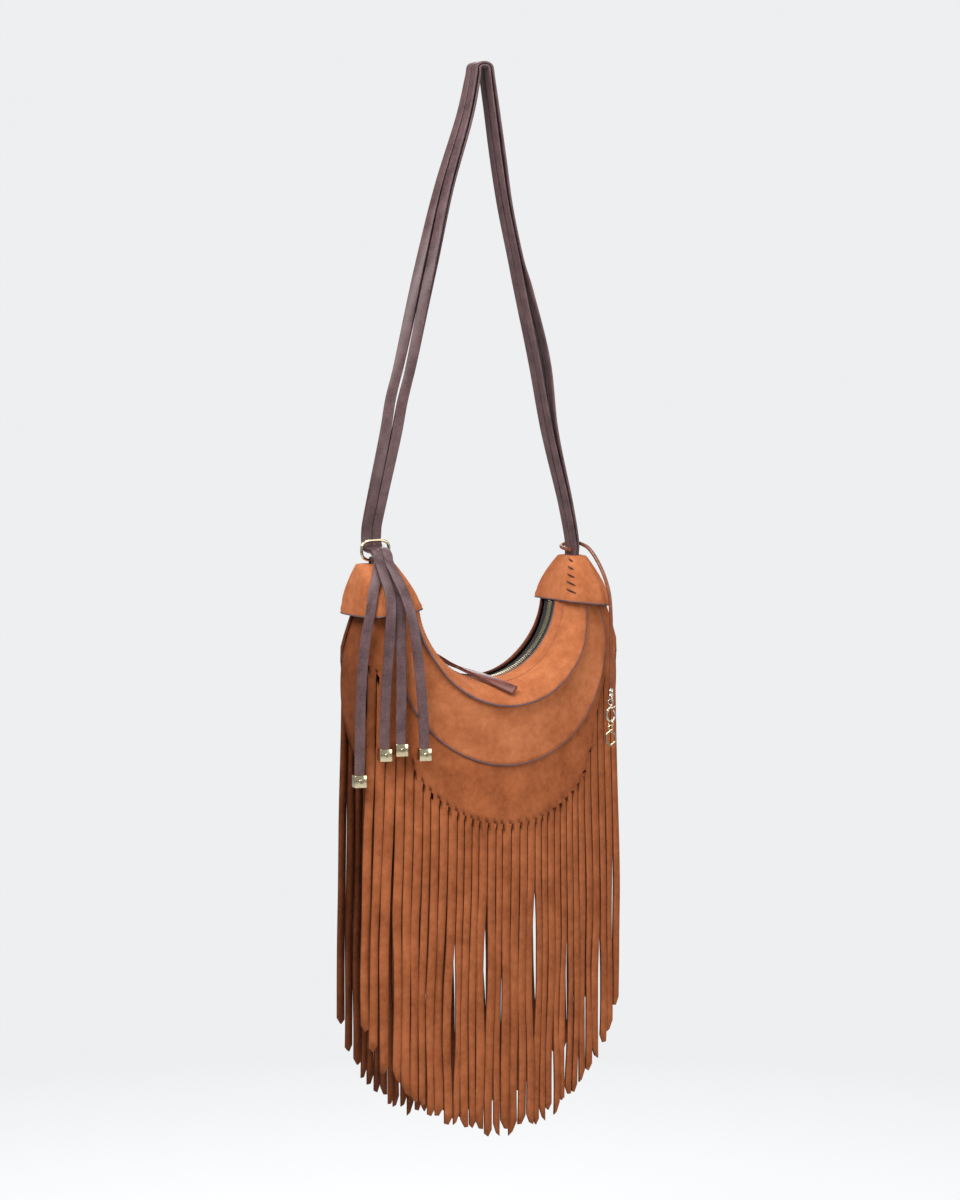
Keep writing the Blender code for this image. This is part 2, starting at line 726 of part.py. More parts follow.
# Middle of the bunch of laces: side position, height, then the turn of its width from +Y towards -X
STRAP_ROUTE = (
    (0.1075, -0.5060, 0.0), (0.1075, -0.4860, 0.0), (0.1070, -0.4700, 0.0), (0.0985, -0.4300, 0.0),
    (0.0810, -0.3600, 0.0), (0.0690, -0.2900, 0.0), (0.0500, -0.2200, 0.0), (0.0410, -0.1880, 0.0),
    (0.0290, -0.1360, 0.0), (0.0210, -0.0900, 0.0), (0.0135, -0.0430, 0.0), (0.0083, -0.0100, 0.0),
    (0.0066, 0.0012, 0.0), (0.0, 0.0040, 0.0), (-0.0066, 0.0012, 0.0), (-0.0083, -0.0100, 0.0),
    (-0.0180, -0.0500, 0.06), (-0.0410, -0.1180, 0.2), (-0.0595, -0.1880, 0.4), (-0.0699, -0.2290, 0.5),
    (-0.0849, -0.2910, 0.65), (-0.0947, -0.3260, 0.75), (-0.1016, -0.3600, 0.85), (-0.1150, -0.4150, 1.0),
)
# The bunch through the ring and over the collar's front edge: y, height above the opening's centre
RING_PASS = ((0.0050, 0.0780), (0.0074, 0.0680), (0.0076, 0.0590), (0.0038, 0.0522), (-0.0030, 0.0508),
             (-0.0098, 0.0500), (-0.0155, 0.0457), (-0.0186, 0.0385))
# Each lace's tail below the ring: x, y, height above the opening's centre
TAILS = (
    ((-0.1302, -0.0240, 0.0265), (-0.1388, -0.0325, 0.0125), (-0.1440, -0.0365, -0.0060),
     (-0.1500, -0.0350, -0.0400), (-0.1535, -0.0340, -0.0900), (-0.1555, -0.0345, -0.1420),
     (-0.1560, -0.0345, -0.1730)),
    ((-0.1252, -0.0315, 0.0245), (-0.1260, -0.0430, 0.0090), (-0.1280, -0.0485, -0.0080),
     (-0.1295, -0.0470, -0.0400), (-0.1310, -0.0430, -0.0900), (-0.1315, -0.0415, -0.1230),
     (-0.1315, -0.0415, -0.1480)),
    ((-0.1150, -0.0270, 0.0255), (-0.1155, -0.0375, 0.0090), (-0.1160, -0.0455, -0.0080),
     (-0.1165, -0.0475, -0.0400), (-0.1170, -0.0490, -0.0900), (-0.1175, -0.0485, -0.1180),
     (-0.1175, -0.0485, -0.1430)),
    ((-0.1130, -0.0335, 0.0250), (-0.1105, -0.0450, 0.0090), (-0.1085, -0.0530, -0.0080),
     (-0.1040, -0.0565, -0.0400), (-0.0985, -0.0570, -0.0900), (-0.0960, -0.0565, -0.1220),
     (-0.0955, -0.0560, -0.1480)),
)


def bunch_turn(share):
    """Width direction of the bunch."""
    a = share * math.pi / 2.0
    return Vector((-math.sin(a), math.cos(a), 0.0))


def bunch_frames():
    """Middle, width direction and outward direction at every route point of the bunch."""
    points = [Vector((x, 0.0, z * RIM_DROP / ROUTE_DROP)) for x, z, _ in STRAP_ROUTE]
    turns = [t for _, _, t in STRAP_ROUTE]
    for y, up in RING_PASS:
        points.append(Vector((LEFT_TOP_X - 0.0005, y, RIM_Z + up)))
        turns.append(1.0)
    frames = []
    for i, p in enumerate(points):
        ahead = points[min(i + 1, len(points) - 1)] - points[max(i - 1, 0)]
        tangent = ahead.normalized()
        side = bunch_turn(turns[i])
        side = (side - tangent * side.dot(tangent)).normalized()
        frames.append((p, side, side.cross(tangent)))
    return frames


def tail_point(x, y, up):
    """Point of a tail, spread sideways with the laces' width."""
    return Vector((TAIL_MIDDLE + (x - TAIL_MIDDLE) * LACE_W / ROUTE_LACE_W, y, RIM_Z + up))


def make_laces(mat):
    """Four strap laces, two by two, each with its own tail."""
    frames = bunch_frames()
    for k, tail in enumerate(TAILS):
        column = 1.0 if k < 2 else -1.0
        layer = 1.0 if k in (1, 3) else -1.0
        route = []
        sides = []
        for p, side, out in frames:
            route.append(p + side * (column * LACE_SIDE / 2.0) + out * (layer * LACE_LAYER / 2.0))
            sides.append(tuple(side))
        for point in tail:
            route.append(tail_point(*point))
            sides.append((-0.975, 0.22, 0.0))
        flat_tube(f"strap_lace_{k + 1}", route, sides, LACE_W, LACE_T, mat, LACE_STEPS)


def make_cubes(metal, screw_metal):
    """Metal cubes clamped on the lace ends, each with a set screw in front."""
    lean = Vector((-0.975, 0.22, 0.0)).normalized()
    front = Vector((-0.22, -0.975, 0.0)).normalized()
    socket_x = LACE_W / 2.0 + 0.0003
    socket_y = LACE_T / 2.0 + 0.0003
    half = CUBE / 2.0
    for k, tail in enumerate(TAILS):
        centre = tail_point(*tail[-1]) + Vector((0, 0, CUBE_SOCKET - half - 0.0006))
        outline = [(-half, -half), (half, -half), (half, half), (-half, half)]
        hole = [(-socket_x, -socket_y), (socket_x, -socket_y), (socket_x, socket_y), (-socket_x, socket_y)]
        bm = bmesh.new()

        def ring(points, height, centre=centre, bm=bm):
            return [bm.verts.new(centre + lean * a + front * b + Vector((0, 0, height))) for a, b in points]

        low = ring(outline, -half)
        high = ring(outline, half)
        mouth = ring(hole, half)
        floor = ring(hole, half - CUBE_SOCKET)
        bm.faces.new(low)
        bm.faces.new(floor)
        for one, two in ((low, high), (high, mouth), (mouth, floor)):
            for i in range(4):
                j = (i + 1) % 4
                bm.faces.new((one[i], one[j], two[j], two[i]))
        add_object(f"lace_cube_{k + 1}", bm, metal)
        head = centre + front * (half + GAP)
        sections = []
        for depth in (0.0, SCREW_T):
            sections.append([head + front * depth + lean * (SCREW_R * math.cos(a)) +
                             Vector((0, 0, SCREW_R * math.sin(a)))
                             for a in (2.0 * math.pi * i / 10 for i in range(10))])
        sweep(f"cube_screw_{k + 1}", sections, screw_metal, 40.0)


# Charm

CORD_ROUTE = (
    (0.1020, -0.0060, -0.4810), (0.1010, 0.0060, -0.4800), (0.1030, 0.0135, -0.4785),
    (0.1080, 0.0155, -0.4765), (0.1128, 0.0125, -0.4750), (0.1145, 0.0040, -0.4745),
    (0.1150, -0.0060, -0.4755), (0.1175, -0.0170, -0.4800), (0.1210, -0.0275, -0.4920),
    (0.1235, -0.0375, -0.5080), (0.1248, -0.0440, -0.5250), (0.1256, -0.0458, -0.5450),
    (0.1262, -0.0455, -0.5720), (0.1268, -0.0445, -0.5990), (0.1268, -0.0440, -0.6195),
)


def make_charm(cord_mat, metal):
    """Thin cord over the strap's foot, its end cap, a trigger clasp, a jump ring and a plain charm."""
    curve = bpy.data.curves.new("charm_cord", "CURVE")
    curve.dimensions = "3D"
    curve.bevel_depth = CORD_R
    curve.bevel_resolution = 2
    curve.use_fill_caps = True
    points = even_curve(CORD_ROUTE, 34)
    line = curve.splines.new("POLY")
    line.points.add(len(points) - 1)
    for slot, p in zip(line.points, points):
        slot.co = (*p, 1.0)
    cord = bpy.data.objects.new("charm_cord", curve)
    curve.materials.append(cord_mat)
    bpy.context.scene.collection.objects.link(cord)

    top = Vector((CHARM_X, CHARM_Y, RIM_Z - CORD_END_DROP))
    rings = []
    for r, drop in ((0.0026, 0.0), (0.0030, 0.0010), (0.0030, 0.0060), (0.0022, 0.0072)):
        rings.append([top + Vector((r * math.cos(a), r * math.sin(a), -drop))
                      for a in (2.0 * math.pi * i / 12 for i in range(12))])
    cap = sweep("cord_end_cap", rings, metal, 40.0)
    cap_eye = top - Vector((0, 0, 0.0072 + EYE_R - 0.0008))
    join_into(cap, [torus("cap_eye", cap_eye, (1, 0, 0), EYE_R, EYE_WIRE, metal, 14, 6)])

    clasp_eye = cap_eye - Vector((0, 0, 2.0 * (EYE_R - EYE_WIRE) - 0.0003))
    make_clasp(clasp_eye, metal)


def make_clasp(eye, metal):
    """Trigger clasp body with its lever, then the jump ring and the charm below it."""
    hook = eye - Vector((0, 0, 0.0135))
    outer, inner = 0.0058, 0.0038
    outline = []
    for k in range(15):
        a = math.radians(60.0 - 300.0 * k / 14)
        outline.append((outer * math.cos(a), outer * math.sin(a) * 1.25))
    for k in range(15):
        a = math.radians(-240.0 + 300.0 * k / 14)
        outline.append((inner * math.cos(a), inner * math.sin(a) * 1.25))
    sections = [[hook + Vector((x, s * 0.0014, z)) for x, z in outline] for s in (-1.0, 1.0)]
    body = sweep("clasp_body", sections, metal, 30.0)
    neck_low = (hook.x - 0.0052, hook.y - 0.0014, hook.z + 0.0042)
    neck_high = (hook.x - 0.0018, hook.y + 0.0014, eye.z - EYE_R + 0.0004)
    neck = box("clasp_neck", neck_low, neck_high, metal)
    bridge = box("clasp_bridge", (hook.x - 0.0052, hook.y - 0.0013, eye.z - EYE_R - 0.0016),
                 (hook.x + 0.0012, hook.y + 0.0013, eye.z - EYE_R + 0.0003), metal)
    eye_ring = torus("clasp_eye", eye, (0, 1, 0), EYE_R, EYE_WIRE, metal, 16, 6)
    join_into(body, [neck, bridge, eye_ring])
    set_origin(body, eye)

    pivot = hook + Vector((0.0038, 0.0, 0.0080))
    lever_outline = [(0.0012, 0.0012), (-0.0012, 0.0012), (-0.0050, -0.0004), (-0.0050, -0.0012),
                     (-0.0005, -0.0012), (0.0012, -0.0008)]
    sections = [[pivot + Vector((x, s * 0.0011, z)) for x, z in lever_outline] for s in (-1.0, 1.0)]
    lever = sweep("clasp_lever", sections, metal, 30.0)
    set_origin(lever, pivot)

    low = hook - Vector((0, 0, inner * 1.25))
    jump = low - Vector((0, 0, JUMP_R - EYE_WIRE - 0.0003))
    set_origin(torus("jump_ring", jump, (1, 0, 0), JUMP_R, EYE_WIRE, metal, 16, 6), jump)

    eye_c = jump - Vector((0, 0, JUMP_R + CHARM_EYE_R - 2.0 * EYE_WIRE - 0.0003))
    charm = torus("charm", eye_c, (0, 1, 0), CHARM_EYE_R, EYE_WIRE, metal, 14, 6)
    plate = hexagon_frame(eye_c - Vector((0, 0, CHARM_EYE_R + 0.0083)), metal)
    join_into(charm, [plate])
    set_origin(charm, eye_c)


def hexagon_frame(centre, metal):
    """Open six-sided frame, taller than wide."""
    outer = [(0.0, 0.0088), (0.0062, 0.0046), (0.0062, -0.0046), (0.0, -0.0088), (-0.0062, -0.0046),
             (-0.0062, 0.0046)]
    scale = 0.70
    bm = bmesh.new()
    loops = []
    for s in (-1.0, 1.0):
        for k in (1.0, scale):
            loops.append([bm.verts.new(centre + Vector((x * k, s * 0.0009, z * k))) for x, z in outer])
    pairs = ((0, 1), (1, 3), (3, 2), (2, 0))
    for a, b in pairs:
        for i in range(6):
            j = (i + 1) % 6
            bm.faces.new((loops[a][i], loops[a][j], loops[b][j], loops[b][i]))
    return add_object("charm_frame", bm, metal)


def main():
    """Build every piece."""
    for obj in list(bpy.data.objects):
        bpy.data.objects.remove(obj, do_unlink=True)
    suede = material("tan_suede", (0.44, 0.16, 0.065), 0.9)
    dark_suede = material("shade_suede", (0.30, 0.10, 0.04), 0.9)
    lining = material("lining_cloth", (0.20, 0.10, 0.06), 0.85)
    tape = material("zip_tape", (0.02, 0.018, 0.017), 0.8)
    gold = material("pale_gold", (0.75, 0.68, 0.48), 0.2, 1.0)
    leather = material("puller_leather", (0.06, 0.014, 0.010), 0.25)

    make_tier("front_upper_panel", suede, (TIER1_R, TIER1_DROP), rim_top, TIER1_PROUD, 1.7, True)
    make_tier("front_middle_panel", suede, (TIER2_R, TIER2_DROP), tier2_top, TIER2_PROUD, 1.0, False)
    fringe_panel("front_fringe_panel", -1.0, lapped_top, (0.0, 0.3, 0.65, 1.0), suede)
    fringe_panel("back_fringe_panel", 1.0, rim_top, (0.0, 0.02, 0.06, 0.12, 0.2, 0.5, 1.0), dark_suede)
    make_gusset(dark_suede)
    make_lining(lining)

    arc_bar("zip_tape_front", -TAPE_OUT, -TAPE_IN, TAPE_R, TAPE_T, TAPE_HALF_ANGLE, tape)
    arc_bar("zip_tape_back", TAPE_IN, TAPE_OUT, TAPE_R, TAPE_T, TAPE_HALF_ANGLE, tape)
    toothed_bar("zip_teeth_front", -1.0, gold)
    toothed_bar("zip_teeth_back", 1.0, gold)
    for name, angle in (("zip_stop_left", -STOP_ANGLE), ("zip_stop_right", STOP_ANGLE)):
        zip_box(name, angle, STOP_LEN, TEETH_OUT, TEETH_R, TEETH_R + TEETH_T, gold)
    hub, along, inward = make_slider(gold)
    top, far = make_pull(gold, hub, along, inward)
    make_puller(leather, far, top)

    make_collar("left_collar", LEFT_X, LEFT_FOOT, LEFT_TOP_X, LEFT_TOP, -1.0,
                (TAB_W / 2.0 + 0.0006, RING_WIRE + 0.0004 + TAB_T + 0.0006), suede)
    make_collar("right_collar", RIGHT_X, RIGHT_FOOT, RIGHT_TOP_X, RIGHT_TOP, 1.0,
                (LACE_LAYER / 2.0 + LACE_T / 2.0 + 0.0006, LACE_SIDE / 2.0 + LACE_W / 2.0 + 0.0006), suede)
    make_ring(gold, suede)
    make_laces(suede)
    make_cubes(gold, gold)
    make_charm(dark_suede, gold)


main()
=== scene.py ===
"""Looks of the fringed suede shoulder bag, hung by its strap, in a plain pale studio.

The bag's faces, tiers, collars, zip, strap laces and hardware are made here as fine surfaces over
the solid model, in its own frame: metres, +Z up, the front towards -Y, the origin under the strap.
"""
import logging
import math
import random
from collections.abc import Callable, Sequence
from dataclasses import dataclass
from enum import Enum

import bpy
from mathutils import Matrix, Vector, noise


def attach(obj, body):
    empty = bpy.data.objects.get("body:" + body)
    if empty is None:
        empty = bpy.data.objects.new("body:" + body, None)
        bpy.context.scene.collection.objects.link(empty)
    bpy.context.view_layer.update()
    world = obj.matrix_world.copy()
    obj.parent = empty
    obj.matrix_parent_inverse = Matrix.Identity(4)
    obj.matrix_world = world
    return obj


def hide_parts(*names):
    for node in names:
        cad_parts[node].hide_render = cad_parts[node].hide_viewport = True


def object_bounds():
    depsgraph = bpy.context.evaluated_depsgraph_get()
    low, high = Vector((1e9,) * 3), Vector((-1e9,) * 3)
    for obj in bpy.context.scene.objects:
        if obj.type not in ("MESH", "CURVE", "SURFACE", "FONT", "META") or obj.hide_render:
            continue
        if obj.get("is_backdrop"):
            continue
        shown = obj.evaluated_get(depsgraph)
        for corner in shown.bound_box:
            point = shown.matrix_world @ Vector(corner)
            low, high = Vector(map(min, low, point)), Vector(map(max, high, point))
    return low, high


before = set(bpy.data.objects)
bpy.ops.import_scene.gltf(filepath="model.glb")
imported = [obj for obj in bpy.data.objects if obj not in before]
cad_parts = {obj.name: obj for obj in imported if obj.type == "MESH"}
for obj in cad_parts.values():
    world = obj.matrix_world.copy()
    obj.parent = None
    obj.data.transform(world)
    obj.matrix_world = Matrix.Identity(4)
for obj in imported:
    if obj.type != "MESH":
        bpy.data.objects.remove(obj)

CAD_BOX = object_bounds()
LOG = logging.getLogger("fringed_bag")

Section = list[tuple[float, float]]
Colour = tuple[float, float, float]


class Side(Enum):
    """Which face of the bag a panel is on."""

    FRONT = -1.0
    BACK = 1.0


class Direction(Enum):
    """Which way a strip's broad face is painted at its cut edges."""

    ACROSS = "across"
    ALONG = "along"


def smooth(low: float, high: float, value: float) -> float:
    """Smooth step from 0 to 1.

    Args:
        low: Value at which the step starts.
        high: Value at which it ends.
        value: Value to place on it.

    Returns:
        Share from 0 to 1.
    """
    t = min(max((value - low) / (high - low), 0.0), 1.0)
    return t * t * (3.0 - 2.0 * t)


def wobble(x: float, y: float, z: float) -> float:
    """Smooth random value between about -1 and 1 at a point."""
    return noise.noise(Vector((x, y, z)))


def linear(red: int, green: int, blue: int) -> Colour:
    """Turn a display colour into a linear one.

    Args:
        red: Red from 0 to 255.
        green: Green from 0 to 255.
        blue: Blue from 0 to 255.

    Returns:
        Linear red, green and blue.
    """
    def channel(value: int) -> float:
        """One linear channel."""
        c = value / 255.0
        return c / 12.92 if c <= 0.04045 else ((c + 0.055) / 1.055) ** 2.4

    return channel(red), channel(green), channel(blue)


def curve_points(points: Sequence[Vector], steps: int) -> list[Vector]:
    """Points on a smooth curve through the given ones.

    Args:
        points: Points that the curve goes through.
        steps: Steps between each two of them.

    Returns:
        The curve's points, the first and the last included.
    """
    pts = [Vector(p) for p in points]
    pts = [pts[0] * 2.0 - pts[1], *pts, pts[-1] * 2.0 - pts[-2]]
    out = []
    for i in range(1, len(pts) - 2):
        a, b, c, d = pts[i - 1:i + 3]
        for k in range(steps):
            t = k / steps
            out.append(0.5 * (2.0 * b + (c - a) * t + (2.0 * a - 5.0 * b + 4.0 * c - d) * t * t
                              + (3.0 * b - 3.0 * c + d - a) * t ** 3))
    out.append(pts[-2])
    return out


def tangents(path: Sequence[Vector], closed: bool = False) -> list[Vector]:
    """Direction of a path at each of its points.

    Args:
        path: The path's points.
        closed: True where its end joins its start.

    Returns:
        One unit vector a point.
    """
    n = len(path)
    out = []
    for i in range(n):
        before = path[i - 1] if closed or i else path[0]
        after = path[(i + 1) % n] if closed or i < n - 1 else path[n - 1]
        out.append((after - before).normalized())
    return out


class Shape:
    """Points and faces of one piece while it is being made."""

    def __init__(self) -> None:
        """Start with no points."""
        self.points: list[Vector] = []
        self.faces: list[tuple[int, ...]] = []
        self.slots: list[int] = []

    def ring(self, points: Sequence[Vector]) -> list[int]:
        """Add points.

        Args:
            points: Points to add.

        Returns:
            Their indices.
        """
        first = len(self.points)
        self.points.extend(Vector(p) for p in points)
        return list(range(first, len(self.points)))

    def face(self, corners: Sequence[int], slot: int = 0) -> None:
        """Add one face in a material slot."""
        self.faces.append(tuple(corners))
        self.slots.append(slot)

    def bridge(self, one: Sequence[int], two: Sequence[int], closed: bool = True,
               slots: Sequence[int] | int = 0) -> None:
        """Join two rows of points with quads.

        Args:
            one: First row's indices.
            two: Second row's indices.
            closed: True where each row is a loop.
            slots: Material slot, or one slot for each quad.
        """
        count = len(one) if closed else len(one) - 1
        for i in range(count):
            j = (i + 1) % len(one)
            slot = slots if isinstance(slots, int) else slots[i]
            self.face((one[i], one[j], two[j], two[i]), slot)

    def loft(self, rings: Sequence[Sequence[Vector]], closed: bool = True, caps: bool = True,
             slots: Sequence[int] | int = 0, cap_slot: int = 0) -> None:
        """Skin a row of rings.

        Args:
            rings: Rings of as many points each.
            closed: True where each ring is a loop.
            caps: True to close both ends.
            slots: Material slot, or one slot for each quad of a ring.
            cap_slot: Material slot of the ends.
        """
        rows = [self.ring(r) for r in rings]
        for one, two in zip(rows, rows[1:]):
            self.bridge(one, two, closed, slots)
        if caps:
            self.face(list(reversed(rows[0])), cap_slot)
            self.face(rows[-1], cap_slot)

    def build(self, name: str, materials: Sequence[bpy.types.Material], angle: float = 50.0,
              flip: bool = False) -> bpy.types.Object:
        """Turn the shape into an object.

        Args:
            name: The object's name.
            materials: Materials in slot order.
            angle: Edges sharper than this many degrees stay sharp.
            flip: True to turn every face round.

        Returns:
            The new object.
        """
        mesh = bpy.data.meshes.new(name)
        faces = [tuple(reversed(f)) for f in self.faces] if flip else self.faces
        mesh.from_pydata([tuple(p) for p in self.points], [], faces)
        for material in materials:
            mesh.materials.append(material)
        mesh.polygons.foreach_set("material_index", self.slots)
        mesh.update()
        mesh.shade_smooth()
        mesh.set_sharp_from_angle(angle=math.radians(angle))
        obj = bpy.data.objects.new(name, mesh)
        bpy.context.scene.collection.objects.link(obj)
        return obj


def outward(obj: bpy.types.Object, direction: Vector) -> None:
    """Flip an open sheet whose faces look away from a direction.

    Args:
        obj: The sheet.
        direction: Way that its faces should look on the whole.
    """
    total = Vector()
    for face in obj.data.polygons:
        total += face.normal * face.area
    if total.dot(direction) < 0.0:
        obj.data.flip_normals()


def thicken(obj: bpy.types.Object, thickness: float, offset: float = -1.0, rim_slot: int = 0) -> None:
    """Give a sheet its thickness.

    Args:
        obj: The sheet.
        thickness: Its thickness.
        offset: Side that the thickness goes to.
        rim_slot: Material slot of the cut edges.
    """
    solid = obj.modifiers.new("thickness", "SOLIDIFY")
    solid.thickness = thickness
    solid.offset = offset
    solid.use_even_offset = False
    solid.material_offset_rim = rim_slot


def tube(shape: Shape, path: Sequence[Vector], radius: float | Sequence[float], sides: int = 12,
         closed: bool = False, slot: int = 0, flat: float = 1.0, normal: Vector | None = None) -> None:
    """Sweep a round or oval wire along a path.

    Args:
        shape: Shape that takes it.
        path: The wire's middle.
        radius: Its radius, or one a point.
        sides: Points round it.
        closed: True where the path is a loop.
        slot: Material slot.
        flat: Height of its section as a share of its width.
        normal: Way that the section's flat side looks, if not chosen along the path.
    """
    ways = tangents(path, closed)
    up = normal or (ways[0].orthogonal())
    rings = []
    for i, (p, way) in enumerate(zip(path, ways)):
        up = (up - way * up.dot(way)).normalized()
        across = way.cross(up)
        r = radius if isinstance(radius, float) else radius[i]
        rings.append([p + across * (r * math.cos(a)) + up * (r * flat * math.sin(a))
                      for a in (2.0 * math.pi * k / sides for k in range(sides))])
    if not closed:
        shape.loft(rings, True, True, slot, slot)
        return
    rows = [shape.ring(r) for r in rings]
    # A closed wire's last ring meets its first one at the nearest turn
    first = [shape.points[i] for i in rows[0]]
    last = shape.points[rows[-1][0]] + (path[0] - path[-1])
    shift = min(range(sides), key=lambda k: (first[k] - last).length)
    for one, two in zip(rows, rows[1:]):
        shape.bridge(one, two, True, slot)
    shape.bridge(rows[-1], rows[0][shift:] + rows[0][:shift], True, slot)


@dataclass(frozen=True)
class BodySizes:
    """Sizes of the bag's body that its pieces share."""

    rim_z: float = -0.524
    rim_r: float = 0.081
    rim_depth: float = 0.0136
    panel_half: float = 0.150
    belly_depth: float = 0.052
    edge_depth: float = 0.025
    rim_rise: float = 0.8
    fringe_half: float = 0.143
    fringe_drop: float = 0.537
    panel_end: float = 91.5
    suede: float = 0.0018
    lining: float = 0.0012
    upper_circle: tuple[float, float] = (0.0986, 0.006)
    middle_circle: tuple[float, float] = (0.121, 0.043)
    slit_circle: tuple[float, float] = (0.1195, 0.104)
    tier_shift: float = 0.005
    tier_lap: float = 0.75
    upper_proud: float = 0.0068
    middle_proud: float = 0.0032
    slit_side_drop: float = 0.060
    end_curve: tuple[float, float] = (0.150, 0.175)


class BodyShape:
    """Curved faces of the bag, in angles and radii about the middle of its opening."""

    def __init__(self, sizes: BodySizes) -> None:
        """Keep the sizes."""
        self.sizes = sizes

    def half_depth(self, x: float, drop: float) -> float:
        """Half the bag's depth at a point of its face.

        Args:
            x: Side position.
            drop: Distance below the opening's centre.

        Returns:
            Distance of the face from the middle plane.
        """
        s = self.sizes
        side = min((x / s.panel_half) ** 2, 1.05)
        depth = s.edge_depth + (s.belly_depth - s.edge_depth) * (1.0 - side)
        depth *= 0.72 + 0.28 * smooth(0.0, 0.07, drop)
        return depth - 0.006 * smooth(0.23, s.fringe_drop, drop) * (1.0 - min(side, 1.0))

    def polar(self, angle: float, radius: float) -> tuple[float, float]:
        """Side position and drop of a point of the face."""
        a = math.radians(angle)
        return radius * math.sin(a), radius * math.cos(a)

    def circle(self, angle: float, size: tuple[float, float]) -> float:
        """Radius at which an angle meets a lower circle.

        Args:
            angle: Angle from straight down.
            size: The circle's radius and how far its centre is dropped.

        Returns:
            Distance from the opening's centre.
        """
        a = math.radians(angle)
        shift = self.sizes.tier_shift
        along = size[1] * math.cos(a) + shift * math.sin(a)
        return along + math.sqrt(size[0] ** 2 - size[1] ** 2 - shift ** 2 + along ** 2)

    def body_radius(self, angle: float) -> float:
        """Radius of the gusset's line."""
        return 0.127 + 0.105 * max(math.cos(math.radians(angle)), 0.0) ** 1.35

    def tuck(self, angle: float, radius: float) -> float:
        """Angle drawn in where a face runs up into a collar."""
        over = abs(angle) - 80.0
        if over <= 0.0:
            return angle
        return math.copysign(80.0 + over * (0.75 + 0.25 * smooth(0.094, 0.104, radius)), angle)

    def face(self, angle: float, radius: float, proud: float, side: Side,
             rim_r: float | None = None, rim_depth: float | None = None) -> Vector:
        """Point of a face.

        Args:
            angle: Angle from straight down.
            radius: Distance from the opening's centre.
            proud: How far the layer stands off the fringe panel.
            side: Front or back.
            rim_r: Radius of the layer's upper edge.
            rim_depth: Depth of that edge.

        Returns:
            The point.
        """
        s = self.sizes
        top_r = s.rim_r + 0.0002 if rim_r is None else rim_r
        top_y = s.rim_depth if rim_depth is None else rim_depth
        x, drop = self.polar(self.tuck(angle, radius), radius)
        full = self.circle(angle, s.upper_circle)
        t = min(max((radius - top_r) / (full - top_r), 0.0), 1.0)
        rise = (1.0 - (1.0 - t) ** 2) ** s.rim_rise
        fade = 0.72 + 0.28 * smooth(0.0, 0.07, drop)
        depth = top_y + (self.half_depth(x, drop) + proud * fade - top_y) * rise
        return Vector((x, side.value * depth, s.rim_z - drop))

    def rim(self, angle: float, radius: float, depth: float) -> Vector:
        """Point of the opening's front rim."""
        x, drop = self.polar(self.tuck(angle, radius), radius)
        return Vector((x, -depth, self.sizes.rim_z - drop))

    def middle_top(self, angle: float) -> float:
        """Upper edge of the middle tier, tucked under the upper one."""
        s = self.sizes
        return s.rim_r + s.tier_lap * (self.circle(angle, s.upper_circle) - s.rim_r)

    def lapped_top(self, angle: float) -> float:
        """Upper edge of the fringe panel, tucked under the middle tier."""
        s = self.sizes
        return max(self.circle(angle, s.middle_circle) - 0.014, self.circle(angle, s.upper_circle) + 0.001)

    def slit_drop(self, x: float) -> float:
        """Drop of the slit top at a side position."""
        s = self.sizes
        inner = min(abs(x - s.tier_shift), s.slit_circle[0] * 0.93)
        low = s.slit_circle[1] + math.sqrt(s.slit_circle[0] ** 2 - inner ** 2)
        return low + (s.slit_side_drop - low) * smooth(0.095, s.fringe_half, abs(x))

    def strip_end(self, x: float) -> float:
        """Drop of a strip's lower end."""
        s = self.sizes
        share = min(abs(x) / s.end_curve[0], 0.985)
        return s.fringe_drop - s.end_curve[1] + s.end_curve[1] * math.sqrt(1.0 - share ** 2)


class NodeSheet:
    """Short way to write a shader's nodes."""

    def __init__(self, tree: bpy.types.NodeTree) -> None:
        """Keep the tree that the nodes go into."""
        self.tree = tree

    def node(self, kind: str, inputs: dict[str | int, object] | None = None,
             **settings: object) -> bpy.types.Node:
        """Add a node.

        Args:
            kind: Node type.
            inputs: Sockets or plain values for its inputs.
            settings: Its own properties.

        Returns:
            The node.
        """
        new = self.tree.nodes.new(kind)
        for key, value in settings.items():
            setattr(new, key, value)
        for key, value in (inputs or {}).items():
            if isinstance(value, bpy.types.NodeSocket):
                self.tree.links.new(value, new.inputs[key])
            else:
                new.inputs[key].default_value = value
        return new

    def math(self, operation: str, a: object, b: object = 0.0) -> bpy.types.NodeSocket:
        """Value made of one or two others."""
        return self.node("ShaderNodeMath", {0: a, 1: b}, operation=operation).outputs[0]

    def mix(self, share: object, one: object, two: object) -> bpy.types.NodeSocket:
        """Colour between two others."""
        new = self.node("ShaderNodeMix", {0: share, 6: one, 7: two}, data_type="RGBA")
        return new.outputs[2]

    def noise(self, where: object, scale: float, detail: float = 3.0, rough: float = 0.55) -> bpy.types.NodeSocket:
        """Noise value at a point."""
        new = self.node("ShaderNodeTexNoise", {"Vector": where, "Scale": scale, "Detail": detail,
                                               "Roughness": rough})
        return new.outputs[0]

    def spread(self, value: object, low: float, high: float, to_low: float = 0.0,
               to_high: float = 1.0) -> bpy.types.NodeSocket:
        """Value stretched from one range to another."""
        new = self.node("ShaderNodeMapRange", {0: value, 1: low, 2: high, 3: to_low, 4: to_high})
        return new.outputs[0]


